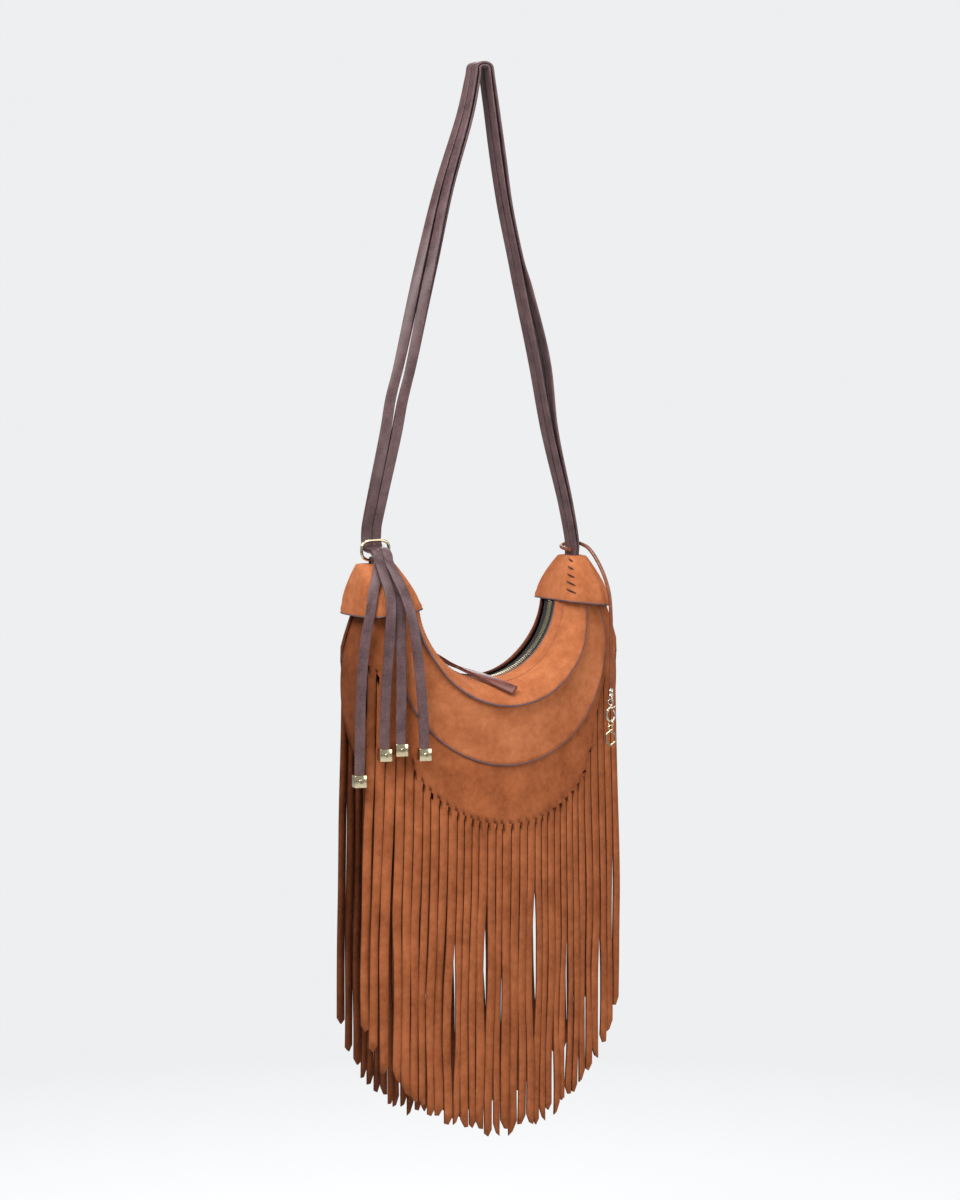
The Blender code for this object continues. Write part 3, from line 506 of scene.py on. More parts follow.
def new_group(name: str, ins: Sequence[tuple[str, str, object]],
              outs: Sequence[tuple[str, str]]) -> tuple[bpy.types.NodeTree, NodeSheet, dict[str, bpy.types.NodeSocket], bpy.types.Node]:
    """Start a shader node group.

    Args:
        name: The group's name.
        ins: Name, socket type and value of each input.
        outs: Name and socket type of each output.

    Returns:
        The group, its node sheet, its input sockets by name and its output node.
    """
    tree = bpy.data.node_groups.new(name, "ShaderNodeTree")
    for label, kind, value in ins:
        socket = tree.interface.new_socket(label, in_out="INPUT", socket_type=kind)
        socket.default_value = value
    for label, kind in outs:
        tree.interface.new_socket(label, in_out="OUTPUT", socket_type=kind)
    sheet = NodeSheet(tree)
    entry = sheet.node("NodeGroupInput")
    leave = sheet.node("NodeGroupOutput")
    return tree, sheet, {label: entry.outputs[label] for label, _, _ in ins}, leave


def rgba(colour: Colour) -> tuple[float, float, float, float]:
    """Colour with full opacity."""
    return (*colour, 1.0)


def suede_nap_group() -> bpy.types.NodeTree:
    """Node group for brushed suede: mottled nap, fine speckle and its bump."""
    tree, n, ins, leave = new_group(
        "suede_nap",
        [("Light", "NodeSocketColor", (1, 1, 1, 1)), ("Dark", "NodeSocketColor", (0, 0, 0, 1)),
         ("Grain", "NodeSocketFloat", 1.0)],
        [("Colour", "NodeSocketColor"), ("Normal", "NodeSocketVector"), ("Nap", "NodeSocketFloat")])
    where = n.node("ShaderNodeTexCoord").outputs["Object"]
    wide = n.spread(n.noise(where, 34.0, 3.0), 0.36, 0.66)
    patch = n.spread(n.noise(where, 150.0, 4.0, 0.6), 0.34, 0.66)
    speckle = n.spread(n.noise(where, 1500.0, 2.0, 0.7), 0.36, 0.64)
    nap = n.math("ADD", n.math("MULTIPLY", wide, 0.42),
                 n.math("ADD", n.math("MULTIPLY", patch, 0.30), n.math("MULTIPLY", speckle, 0.28)))
    colour = n.mix(nap, ins["Dark"], ins["Light"])
    height = n.math("ADD", n.math("MULTIPLY", speckle, n.math("MULTIPLY", ins["Grain"], 0.00010)),
                    n.math("MULTIPLY", patch, 0.00016))
    bump = n.node("ShaderNodeBump", {"Strength": 0.55, "Distance": 1.0, "Height": height})
    n.tree.links.new(colour, leave.inputs["Colour"])
    n.tree.links.new(bump.outputs[0], leave.inputs["Normal"])
    n.tree.links.new(nap, leave.inputs["Nap"])
    return tree


def wear_group() -> bpy.types.NodeTree:
    """Node group for small marks on metal and paint: a mask, a roughness and a normal."""
    tree, n, ins, leave = new_group(
        "fine_wear",
        [("Roughness", "NodeSocketFloat", 0.2), ("Depth", "NodeSocketFloat", 0.00002),
         ("Scale", "NodeSocketFloat", 400.0)],
        [("Mask", "NodeSocketFloat"), ("Rough", "NodeSocketFloat"), ("Normal", "NodeSocketVector")])
    where = n.node("ShaderNodeTexCoord").outputs["Object"]
    fine = n.node("ShaderNodeTexNoise", {"Vector": where, "Scale": ins["Scale"], "Detail": 4.0,
                                         "Roughness": 0.6}).outputs[0]
    wide = n.noise(where, 60.0, 2.0)
    mask = n.spread(n.math("ADD", n.math("MULTIPLY", fine, 0.6), n.math("MULTIPLY", wide, 0.4)), 0.35, 0.65)
    rough = n.math("ADD", ins["Roughness"], n.math("MULTIPLY", n.math("SUBTRACT", mask, 0.5), 0.12))
    bump = n.node("ShaderNodeBump", {"Strength": 0.5, "Distance": 1.0,
                                     "Height": n.math("MULTIPLY", fine, ins["Depth"])})
    n.tree.links.new(mask, leave.inputs["Mask"])
    n.tree.links.new(rough, leave.inputs["Rough"])
    n.tree.links.new(bump.outputs[0], leave.inputs["Normal"])
    return tree


def weave_group() -> bpy.types.NodeTree:
    """Node group for woven cloth: thread mask and normal."""
    tree, n, ins, leave = new_group(
        "cloth_weave", [("Threads", "NodeSocketFloat", 2600.0)],
        [("Thread", "NodeSocketFloat"), ("Normal", "NodeSocketVector")])
    where = n.node("ShaderNodeTexCoord").outputs["Object"]
    parts = n.node("ShaderNodeSeparateXYZ", {0: where})
    warp = n.math("SINE", n.math("MULTIPLY", n.math("ADD", parts.outputs[0], parts.outputs[2]), ins["Threads"]))
    weft = n.math("SINE", n.math("MULTIPLY", n.math("SUBTRACT", parts.outputs[1], parts.outputs[2]),
                                 ins["Threads"]))
    thread = n.spread(n.math("MULTIPLY", warp, weft), -1.0, 1.0)
    loose = n.noise(where, 900.0, 3.0)
    mask = n.math("ADD", n.math("MULTIPLY", thread, 0.6), n.math("MULTIPLY", loose, 0.4))
    bump = n.node("ShaderNodeBump", {"Strength": 0.6, "Distance": 1.0,
                                     "Height": n.math("MULTIPLY", mask, 0.0002)})
    n.tree.links.new(mask, leave.inputs["Thread"])
    n.tree.links.new(bump.outputs[0], leave.inputs["Normal"])
    return tree


@dataclass(frozen=True)
class Groups:
    """Node groups that the finishes share."""

    nap: bpy.types.NodeTree
    wear: bpy.types.NodeTree
    weave: bpy.types.NodeTree


def start_material(name: str) -> tuple[bpy.types.Material, NodeSheet, bpy.types.Node]:
    """New material with an empty Principled shader.

    Args:
        name: The material's name.

    Returns:
        The material, its node sheet and its shader.
    """
    material = bpy.data.materials.new(name)
    material.use_nodes = True
    material.node_tree.nodes.clear()
    n = NodeSheet(material.node_tree)
    shader = n.node("ShaderNodeBsdfPrincipled")
    n.node("ShaderNodeOutputMaterial", {"Surface": shader.outputs[0]})
    return material, n, shader


@dataclass(frozen=True)
class Suede:
    """Brushed suede."""

    name: str
    light: Colour
    dark: Colour
    grain: float = 1.0
    sheen: float = 0.22
    roughness: float = 0.88

    def make(self, groups: Groups) -> bpy.types.Material:
        """Build the material."""
        material, n, shader = start_material(self.name)
        nap = n.node("ShaderNodeGroup", {}, node_tree=groups.nap)
        nap.inputs["Light"].default_value = rgba(self.light)
        nap.inputs["Dark"].default_value = rgba(self.dark)
        nap.inputs["Grain"].default_value = self.grain
        n.tree.links.new(nap.outputs["Colour"], shader.inputs["Base Color"])
        n.tree.links.new(nap.outputs["Normal"], shader.inputs["Normal"])
        shader.inputs["Roughness"].default_value = self.roughness
        shader.inputs["Specular IOR Level"].default_value = 0.18
        shader.inputs["Sheen Weight"].default_value = self.sheen
        shader.inputs["Sheen Roughness"].default_value = 0.45
        shader.inputs["Sheen Tint"].default_value = rgba(self.light)
        return material


@dataclass(frozen=True)
class EdgePaint:
    """Painted raw edge of the suede, a dull purple grey with a soft shine."""

    name: str
    light: Colour
    dark: Colour
    roughness: float = 0.42

    def make(self, groups: Groups) -> bpy.types.Material:
        """Build the material."""
        material, n, shader = start_material(self.name)
        wear = n.node("ShaderNodeGroup", {}, node_tree=groups.wear)
        wear.inputs["Roughness"].default_value = self.roughness
        wear.inputs["Depth"].default_value = 0.00012
        wear.inputs["Scale"].default_value = 700.0
        colour = n.mix(wear.outputs["Mask"], rgba(self.dark), rgba(self.light))
        n.tree.links.new(colour, shader.inputs["Base Color"])
        n.tree.links.new(wear.outputs["Rough"], shader.inputs["Roughness"])
        n.tree.links.new(wear.outputs["Normal"], shader.inputs["Normal"])
        return material


@dataclass(frozen=True)
class Metal:
    """Polished plated metal."""

    name: str
    colour: Colour
    worn: Colour
    roughness: float = 0.14

    def make(self, groups: Groups) -> bpy.types.Material:
        """Build the material."""
        material, n, shader = start_material(self.name)
        wear = n.node("ShaderNodeGroup", {}, node_tree=groups.wear)
        wear.inputs["Roughness"].default_value = self.roughness
        wear.inputs["Depth"].default_value = 0.000015
        wear.inputs["Scale"].default_value = 450.0
        colour = n.mix(wear.outputs["Mask"], rgba(self.worn), rgba(self.colour))
        n.tree.links.new(colour, shader.inputs["Base Color"])
        n.tree.links.new(wear.outputs["Rough"], shader.inputs["Roughness"])
        n.tree.links.new(wear.outputs["Normal"], shader.inputs["Normal"])
        shader.inputs["Metallic"].default_value = 1.0
        return material


@dataclass(frozen=True)
class Cloth:
    """Woven cloth of the lining and the zip tape."""

    name: str
    light: Colour
    dark: Colour
    threads: float = 2600.0

    def make(self, groups: Groups) -> bpy.types.Material:
        """Build the material."""
        material, n, shader = start_material(self.name)
        weave = n.node("ShaderNodeGroup", {}, node_tree=groups.weave)
        weave.inputs["Threads"].default_value = self.threads
        colour = n.mix(weave.outputs["Thread"], rgba(self.dark), rgba(self.light))
        n.tree.links.new(colour, shader.inputs["Base Color"])
        n.tree.links.new(weave.outputs["Normal"], shader.inputs["Normal"])
        shader.inputs["Roughness"].default_value = 0.82
        shader.inputs["Sheen Weight"].default_value = 0.12
        return material


@dataclass(frozen=True)
class Leather:
    """Smooth glazed leather."""

    name: str
    light: Colour
    dark: Colour
    roughness: float = 0.26

    def make(self, groups: Groups) -> bpy.types.Material:
        """Build the material."""
        material, n, shader = start_material(self.name)
        wear = n.node("ShaderNodeGroup", {}, node_tree=groups.wear)
        wear.inputs["Roughness"].default_value = self.roughness
        wear.inputs["Depth"].default_value = 0.00014
        wear.inputs["Scale"].default_value = 520.0
        colour = n.mix(wear.outputs["Mask"], rgba(self.dark), rgba(self.light))
        n.tree.links.new(colour, shader.inputs["Base Color"])
        n.tree.links.new(wear.outputs["Rough"], shader.inputs["Roughness"])
        n.tree.links.new(wear.outputs["Normal"], shader.inputs["Normal"])
        shader.inputs["Coat Weight"].default_value = 0.35
        shader.inputs["Coat Roughness"].default_value = 0.15
        return material


class Finishes:
    """Every material of the bag."""

    def __init__(self) -> None:
        """Make them all."""
        groups = Groups(suede_nap_group(), wear_group(), weave_group())
        self.suede = Suede("tan_suede", linear(204, 126, 82), linear(156, 84, 46)).make(groups)
        self.fringe = Suede("fringe_suede", linear(186, 108, 66), linear(132, 68, 34)).make(groups)
        self.strap = Suede("strap_suede", linear(184, 106, 66), linear(134, 70, 36)).make(groups)
        # Darker copy of the tan suede with less sheen: painted shade for the back panel and the gusset, which hang in
        # shadow
        self.shade = Suede("shade_suede", linear(140, 76, 42), linear(88, 44, 22), sheen=0.1).make(groups)
        self.cut = Suede("cut_edge", linear(112, 62, 40), linear(66, 34, 22), sheen=0.05).make(groups)
        self.paint = EdgePaint("edge_paint", linear(118, 92, 98), linear(76, 55, 62)).make(groups)
        self.strap_paint = EdgePaint("strap_edge_paint", linear(112, 84, 86), linear(66, 44, 46)).make(groups)
        self.thread = Cloth("whip_thread", linear(70, 38, 26), linear(34, 16, 10), 5200.0).make(groups)
        self.stitch = Cloth("seam_thread", linear(150, 92, 66), linear(96, 54, 38), 5200.0).make(groups)
        self.tape = Cloth("zip_tape", linear(40, 37, 37), linear(17, 15, 15), 5200.0).make(groups)
        self.lining = Cloth("lining_cloth", linear(104, 64, 44), linear(58, 32, 21)).make(groups)
        self.gold = Metal("pale_gold", linear(238, 226, 192), linear(214, 198, 158)).make(groups)
        self.silver = Metal("clasp_metal", linear(226, 220, 206), linear(196, 188, 170), 0.17).make(groups)
        self.puller = Leather("puller_leather", linear(74, 24, 18), linear(36, 11, 9)).make(groups)
        self.puller_edge = EdgePaint("puller_edge", linear(128, 66, 52), linear(82, 34, 28), 0.35).make(groups)
        self.cord = Leather("cord_leather", linear(150, 82, 48), linear(100, 50, 27), 0.5).make(groups)


@dataclass(frozen=True)
class View:
    """Where the photograph is taken from."""

    azimuth: float = -30.0
    elevation: float = 5.0
    distance: float = 4.0
    aim: tuple[float, float, float] = (0.0, 0.0, -0.528)
    lens: float = 120.0


class Studio:
    """Camera, lights, pale floor and background."""

    def __init__(self, view: View) -> None:
        """Keep the view."""
        self.view = view

    def camera(self) -> None:
        """Place the camera and make it the scene's."""
        v = self.view
        az, el = math.radians(v.azimuth), math.radians(v.elevation)
        back = Vector((math.sin(az) * math.cos(el), -math.cos(az) * math.cos(el), math.sin(el)))
        data = bpy.data.cameras.new("camera")
        data.lens = v.lens
        data.sensor_width = 36.0
        data.clip_end = 50.0
        camera = bpy.data.objects.new("camera", data)
        camera.location = Vector(v.aim) + back * v.distance
        camera.rotation_euler = back.to_track_quat("Z", "Y").to_euler()
        bpy.context.scene.collection.objects.link(camera)
        bpy.context.scene.camera = camera

    def area(self, name: str, azimuth: float, elevation: float, distance: float, size: float,
             power: float, colour: Colour = (1.0, 1.0, 1.0)) -> None:
        """Soft square light.

        Args:
            name: The light's name.
            azimuth: Way that it stands from the bag, in degrees.
            elevation: How high it stands, in degrees.
            distance: How far away it is.
            size: Its side.
            power: Its power in watts.
            colour: Its colour.
        """
        az, el = math.radians(azimuth), math.radians(elevation)
        back = Vector((math.sin(az) * math.cos(el), -math.cos(az) * math.cos(el), math.sin(el)))
        data = bpy.data.lights.new(name, "AREA")
        data.size = size
        data.energy = power
        data.color = colour
        light = bpy.data.objects.new(name, data)
        light.location = Vector((0.0, 0.0, -0.58)) + back * distance
        light.rotation_euler = back.to_track_quat("Z", "Y").to_euler()
        bpy.context.scene.collection.objects.link(light)

    def lights(self) -> None:
        """Place the lights."""
        self.area("key_light", -62.0, 42.0, 2.6, 1.3, 62.0)
        self.area("fill_light", 28.0, 18.0, 3.0, 1.8, 30.0)
        self.area("top_light", 10.0, 80.0, 2.6, 1.2, 22.0)
        self.area("back_light", 150.0, 30.0, 3.0, 1.6, 26.0)

    def background(self) -> None:
        """Even light all round, and the pale background that the camera sees."""
        world = bpy.data.worlds.new("studio")
        world.use_nodes = True
        world.node_tree.nodes.clear()
        n = NodeSheet(world.node_tree)
        path = n.node("ShaderNodeLightPath")
        direct = n.math("MAXIMUM", path.outputs["Is Camera Ray"], path.outputs["Is Transmission Ray"])
        seen = n.node("ShaderNodeBackground", {"Color": rgba(linear(238, 239, 240)), "Strength": 1.0})
        lit = n.node("ShaderNodeBackground", {"Color": (0.96, 0.98, 1.0, 1.0), "Strength": 0.36})
        mixed = n.node("ShaderNodeMixShader", {0: direct, 1: lit.outputs[0], 2: seen.outputs[0]})
        n.node("ShaderNodeOutputWorld", {"Surface": mixed.outputs[0]})
        bpy.context.scene.world = world

    def floor(self) -> None:
        """Wide pale floor that takes the bag's shadow and fades into the background."""
        shape = Shape()
        radii = (0.0, 0.4, 0.8, 1.4, 2.4, 4.0, 8.0, 14.0)
        rows = [shape.ring([Vector((r * math.cos(a), r * math.sin(a), -1.32))
                            for a in (2.0 * math.pi * k / 72 for k in range(72))]) for r in radii[1:]]
        middle = shape.ring([Vector((0.0, 0.0, -1.32))])[0]
        for i in range(72):
            shape.face((middle, rows[0][i], rows[0][(i + 1) % 72]))
        for one, two in zip(rows, rows[1:]):
            shape.bridge(two, one)
        material = bpy.data.materials.new("pale_floor")
        material.use_nodes = True
        material.node_tree.nodes.clear()
        n = NodeSheet(material.node_tree)
        where = n.node("ShaderNodeTexCoord").outputs["Object"]
        reach = n.node("ShaderNodeVectorMath", {0: where}, operation="LENGTH").outputs["Value"]
        fade = n.spread(reach, 1.45, 2.1)
        matt = n.node("ShaderNodeBsdfDiffuse", {"Color": (0.30, 0.30, 0.30, 1.0)})
        glow = n.node("ShaderNodeEmission", {"Color": rgba(linear(238, 239, 240)), "Strength": 0.80})
        both = n.node("ShaderNodeAddShader", {0: matt.outputs[0], 1: glow.outputs[0]})
        far = n.node("ShaderNodeEmission", {"Color": rgba(linear(238, 239, 240)), "Strength": 1.0})
        seen = n.node("ShaderNodeMixShader", {0: fade, 1: both.outputs[0], 2: far.outputs[0]})
        plain = n.node("ShaderNodeBsdfDiffuse", {"Color": (0.62, 0.62, 0.62, 1.0)})
        path = n.node("ShaderNodeLightPath")
        out = n.node("ShaderNodeMixShader", {0: path.outputs["Is Camera Ray"], 1: plain.outputs[0],
                                             2: seen.outputs[0]})
        n.node("ShaderNodeOutputMaterial", {"Surface": out.outputs[0]})
        floor = shape.build("floor", [material])
        outward(floor, Vector((0.0, 0.0, 1.0)))
        floor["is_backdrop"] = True

    def build(self) -> None:
        """Make all of it."""
        self.camera()
        self.lights()
        self.background()
        self.floor()
        bpy.context.scene.view_settings.view_transform = "Standard"


def fit(obj: bpy.types.Object, body: str, slot: str, *nodes: str) -> bpy.types.Object:
    """Tie a piece to the solid model.

    Args:
        obj: The piece.
        body: Body that it moves with.
        slot: Name of a material slot; not used.
        nodes: Solids that it stands for.

    Returns:
        The piece.
    """
    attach(obj, body)
    if nodes:
        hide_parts(*nodes)
    LOG.info("%s rides on %s", obj.name, body)
    return obj


@dataclass(frozen=True)
class StripSizes:
    """Sizes of the row of fringe strips."""

    count: int = 33
    gap: float = 0.0009
    uneven: float = 0.16
    rows: int = 26
    flare: float = 0.045
    sway: float = 0.0024
    curl: float = 0.0011
    slant: float = 0.010


@dataclass(frozen=True)
class Parting:
    """Place where the strips stand apart and leave a slit to look through."""

    x: float
    start: float
    end: float
    width: float


FRONT_PARTINGS = (
    Parting(-0.0210, 0.285, 0.440, 0.0021), Parting(-0.0540, 0.330, 0.500, 0.0024),
    Parting(0.0340, 0.280, 0.450, 0.0022), Parting(0.0700, 0.340, 0.520, 0.0020),
    Parting(-0.1150, 0.300, 0.520, 0.0020), Parting(0.1180, 0.330, 0.500, 0.0024),
)
LOOK_ACROSS = 0.052        # side shift between the front and the back along the camera's line


class FringePanel:
    """Suede panel whose lower part is slit into hanging strips."""

    def __init__(self, shape: BodyShape, sizes: StripSizes, side: Side, seed: int) -> None:
        """Keep the sizes and draw the strips' uneven widths."""
        self.shape = shape
        self.sizes = sizes
        self.side = side
        self.seed = seed
        rng = random.Random(seed)
        widths = [1.0 + rng.uniform(-sizes.uneven, sizes.uneven) for _ in range(sizes.count)]
        total = sum(widths)
        half = shape.sizes.fringe_half
        self.edges = [-half]
        for width in widths:
            self.edges.append(self.edges[-1] + width / total * 2.0 * half)
        self.slants = [rng.uniform(-1.0, 1.0) for _ in range(sizes.count)]
        self.lengths = [rng.uniform(-0.006, 0.003) for _ in range(sizes.count)]
        self.phases = [rng.uniform(0.0, 50.0) for _ in range(sizes.count)]
        shift = 0.0 if side is Side.FRONT else LOOK_ACROSS
        self.partings = [Parting(p.x + shift, p.start, p.end, p.width) for p in FRONT_PARTINGS]

    def spread(self, middle: float, drop: float) -> float:
        """How far a strip is pushed aside where the strips stand apart.

        Args:
            middle: Strip's side position.
            drop: Distance below the opening's centre.

        Returns:
            Side shift.
        """
        push = 0.0
        for gap in self.partings:
            near = min(self.edges, key=lambda e: abs(e - gap.x))
            away = middle - near
            share = smooth(gap.start, gap.start + 0.06, drop) * (1.0 - smooth(gap.end - 0.07, gap.end, drop))
            push += math.copysign(gap.width * share * math.exp(-abs(away) / 0.016), away)
        return push

    def strip_point(self, k: int, across: float, t: float) -> Vector:
        """Point of a strip.

        Args:
            k: The strip.
            across: Place across it, from -1 to 1.
            t: Place down it, from 0 at the slit top to 1 at its end.

        Returns:
            The point.
        """
        s = self.sizes
        left = self.edges[k] + s.gap / 2.0
        right = self.edges[k + 1] - s.gap / 2.0
        middle = (left + right) / 2.0
        half = (right - left) / 2.0
        top = self.shape.slit_drop(middle + half * across)
        tip = abs(across - self.slants[k] * 0.4) * s.slant * 0.55 - self.slants[k] * across * s.slant * 0.5
        end = self.shape.strip_end(middle) + self.lengths[k] - tip
        drop = top + (end - top) * t
        grow = smooth(0.02, 0.75, t)
        wave = wobble(self.phases[k], drop * 9.0, self.seed) * s.sway * grow
        wave += wobble(middle * 14.0, drop * 5.0, self.seed + 7.0) * s.sway * 0.7 * grow
        x = middle * (1.0 + s.flare * smooth(0.0, 0.7, t)) + half * across + wave + self.spread(middle, drop)
        deep = self.shape.half_depth(min(max(x, -0.150), 0.150), drop)
        lift = wobble(self.phases[k] + 9.0, drop * 7.0, self.seed + 3.0) * 0.0030 * grow
        twist = wobble(self.phases[k] + 21.0, drop * 6.0, self.seed + 5.0) * 0.42 * grow
        lift += across * half * twist - (1.0 - across * across) * s.curl * grow * (0.4 + 0.6 * twist)
        return Vector((x, self.side.value * (deep + lift), self.shape.sizes.rim_z - drop))

    def columns(self) -> list[tuple[float, float]]:
        """Angle and end radius of each column above the slits."""
        limit = self.shape.sizes.panel_end
        sides = [-limit, -88.0, -84.0, -80.0, -76.0, -72.0]
        out = [(a, self.shape.body_radius(a) + 0.002) for a in sides]
        for k in range(self.sizes.count):
            for across in (-1.0, 0.0, 1.0):
                p = self.strip_point(k, across, 0.0)
                drop = self.shape.sizes.rim_z - p.z
                out.append((math.degrees(math.atan2(p.x, drop)), math.hypot(p.x, drop)))
        return out + [(-a, self.shape.body_radius(a) + 0.002) for a in reversed(sides)]

    def build(self, name: str, top_of: Callable[[float], float], rows: int,
              materials: Sequence[bpy.types.Material]) -> bpy.types.Object:
        """Make the panel.

        Args:
            name: The piece's name.
            top_of: Radius of its upper edge at an angle.
            rows: Rows of faces above the slits.
            materials: Suede, then its cut edge.

        Returns:
            The panel.
        """
        shape = Shape()
        columns = []
        for angle, end in self.columns():
            start = top_of(angle)
            points = []
            for r in range(rows + 1):
                t = (r / rows) ** 1.4
                p = self.shape.face(angle, start + (end - start) * t, 0.0, self.side)
                p.y += self.side.value * wobble(p.x * 22.0, p.z * 22.0, self.seed) * 0.0012 * t * (1.0 - t)
                points.append(p)
            columns.append(shape.ring(points))
        for one, two in zip(columns, columns[1:]):
            shape.bridge(one, two, False)
        for k in range(self.sizes.count):
            above = [columns[6 + 3 * k + j][-1] for j in range(3)]
            for r in range(1, self.sizes.rows + 1):
                row = shape.ring([self.strip_point(k, a, r / self.sizes.rows) for a in (-1.0, 0.0, 1.0)])
                shape.bridge(above, row, False)
                above = row
        panel = shape.build(name, materials, 70.0)
        outward(panel, Vector((0.0, self.side.value, 0.0)))
        thicken(panel, self.shape.sizes.suede, -1.0, 1)
        return panel


@dataclass(frozen=True)
class TierSizes:
    """Sizes of one crescent tier of the front."""

    circle: tuple[float, float]
    proud: float
    power: float
    lip: bool
    columns: int = 150
    rows: int = 18
    edge_wire: float = 0.00125


class Tier:
    """Crescent of suede across the front, with its painted lower edge."""

    def __init__(self, shape: BodyShape, sizes: TierSizes, seed: float) -> None:
        """Keep the sizes."""
        self.shape = shape
        self.sizes = sizes
        self.seed = seed

    def point(self, angle: float, t: float, top: float) -> Vector:
        """Point of the tier.

        Args:
            angle: Angle from straight down.
            t: Place from its top, 0, to its lower edge, 1.
            top: Radius of its top.

        Returns:
            The point.
        """
        low = self.shape.circle(angle, self.sizes.circle)
        p = self.shape.face(angle, top + (low - top) * t, self.sizes.proud, Side.FRONT)
        soft = 1.0 - smooth(70.0, 86.0, abs(angle))
        p.y -= wobble(p.x * 24.0, p.z * 24.0, self.seed) * 0.0011 * t * soft
        p.y -= 0.0012 * smooth(0.75, 1.0, t) * soft
        return p

    def build(self, name: str, top_of: Callable[[float], float],
              materials: Sequence[bpy.types.Material]) -> bpy.types.Object:
        """Make the tier.

        Args:
            name: The piece's name.
            top_of: Radius of its upper edge at an angle.
            materials: Suede, then its edge paint.

        Returns:
            The tier.
        """
        s = self.sizes
        limit = self.shape.sizes.panel_end
        angles = [limit * (2.0 * i / s.columns - 1.0) for i in range(s.columns + 1)]
        shape = Shape()
        rows = []
        if s.lip:
            rows.append(shape.ring([self.shape.rim(a, self.shape.sizes.rim_r, 0.0100) for a in angles]))
        for r in range(s.rows + 1):
            t = (r / s.rows) ** (s.power if s.lip else 1.0)
            rows.append(shape.ring([self.point(a, t, top_of(a)) for a in angles]))
        for one, two in zip(rows, rows[1:]):
            shape.bridge(one, two, False)
        tier = shape.build(name, materials, 60.0)
        outward(tier, Vector((0.0, -1.0, 0.2)))
        thicken(tier, self.shape.sizes.suede, -1.0, 1)
        return tier

    def edge(self, name: str, top_of: Callable[[float], float], t: float, half_angle: float,
             material: bpy.types.Material) -> bpy.types.Object:
        """Painted bead along an edge of the tier.

        Args:
            name: The bead's name.
            top_of: Radius of the tier's upper edge at an angle.
            t: Place of the bead from the top, 0, to the lower edge, 1.
            half_angle: Angle at which it ends on both sides.
            material: The edge paint.

        Returns:
            The bead.
        """
        shape = Shape()
        angles = [half_angle * (2.0 * i / 140 - 1.0) for i in range(141)]
        path = []
        for a in angles:
            if t > 0.0:
                p = self.point(a, t, top_of(a))
                path.append(p + Vector((0.0, self.shape.sizes.suede * 0.5, 0.0)))
            else:
                path.append(self.shape.rim(a, self.shape.sizes.rim_r + 0.0006, 0.0108))
        tube(shape, path, self.sizes.edge_wire, 8, flat=0.75, normal=Vector((0.0, -1.0, 0.0)))
        return shape.build(name, [material], 60.0)


def stitches(name: str, path: Sequence[Vector], outs: Sequence[Vector], length: float, gap: float,
             thick: float, material: bpy.types.Material) -> bpy.types.Object:
    """Row of sewn stitches along a line.

    Args:
        name: The row's name.
        path: Points of the seam line.
        outs: Way out of the leather at each of them.
        length: One stitch's length.
        gap: Distance between two stitches.
        thick: The thread's radius.
        material: The thread.

    Returns:
        The row.
    """
    shape = Shape()
    travelled = [0.0]
    for a, b in zip(path, path[1:]):
        travelled.append(travelled[-1] + (b - a).length)

    def place(s: float) -> tuple[Vector, Vector]:
        """Point and way out at a distance along the line."""
        i = max(k for k in range(len(travelled) - 1) if travelled[k] <= s or k == 0)
        share = (s - travelled[i]) / max(travelled[i + 1] - travelled[i], 1e-9)
        return path[i].lerp(path[i + 1], share), outs[i].lerp(outs[i + 1], share).normalized()

    s = gap
    while s + length < travelled[-1]:
        line = []
        for k in range(5):
            p, out = place(s + length * k / 4)
            line.append(p + out * (thick * (1.5 * math.sin(math.pi * k / 4) - 0.6)))
        tube(shape, line, [thick * 0.7, thick, thick, thick, thick * 0.7], 6)
        s += length + gap
    return shape.build(name, [material], 60.0)


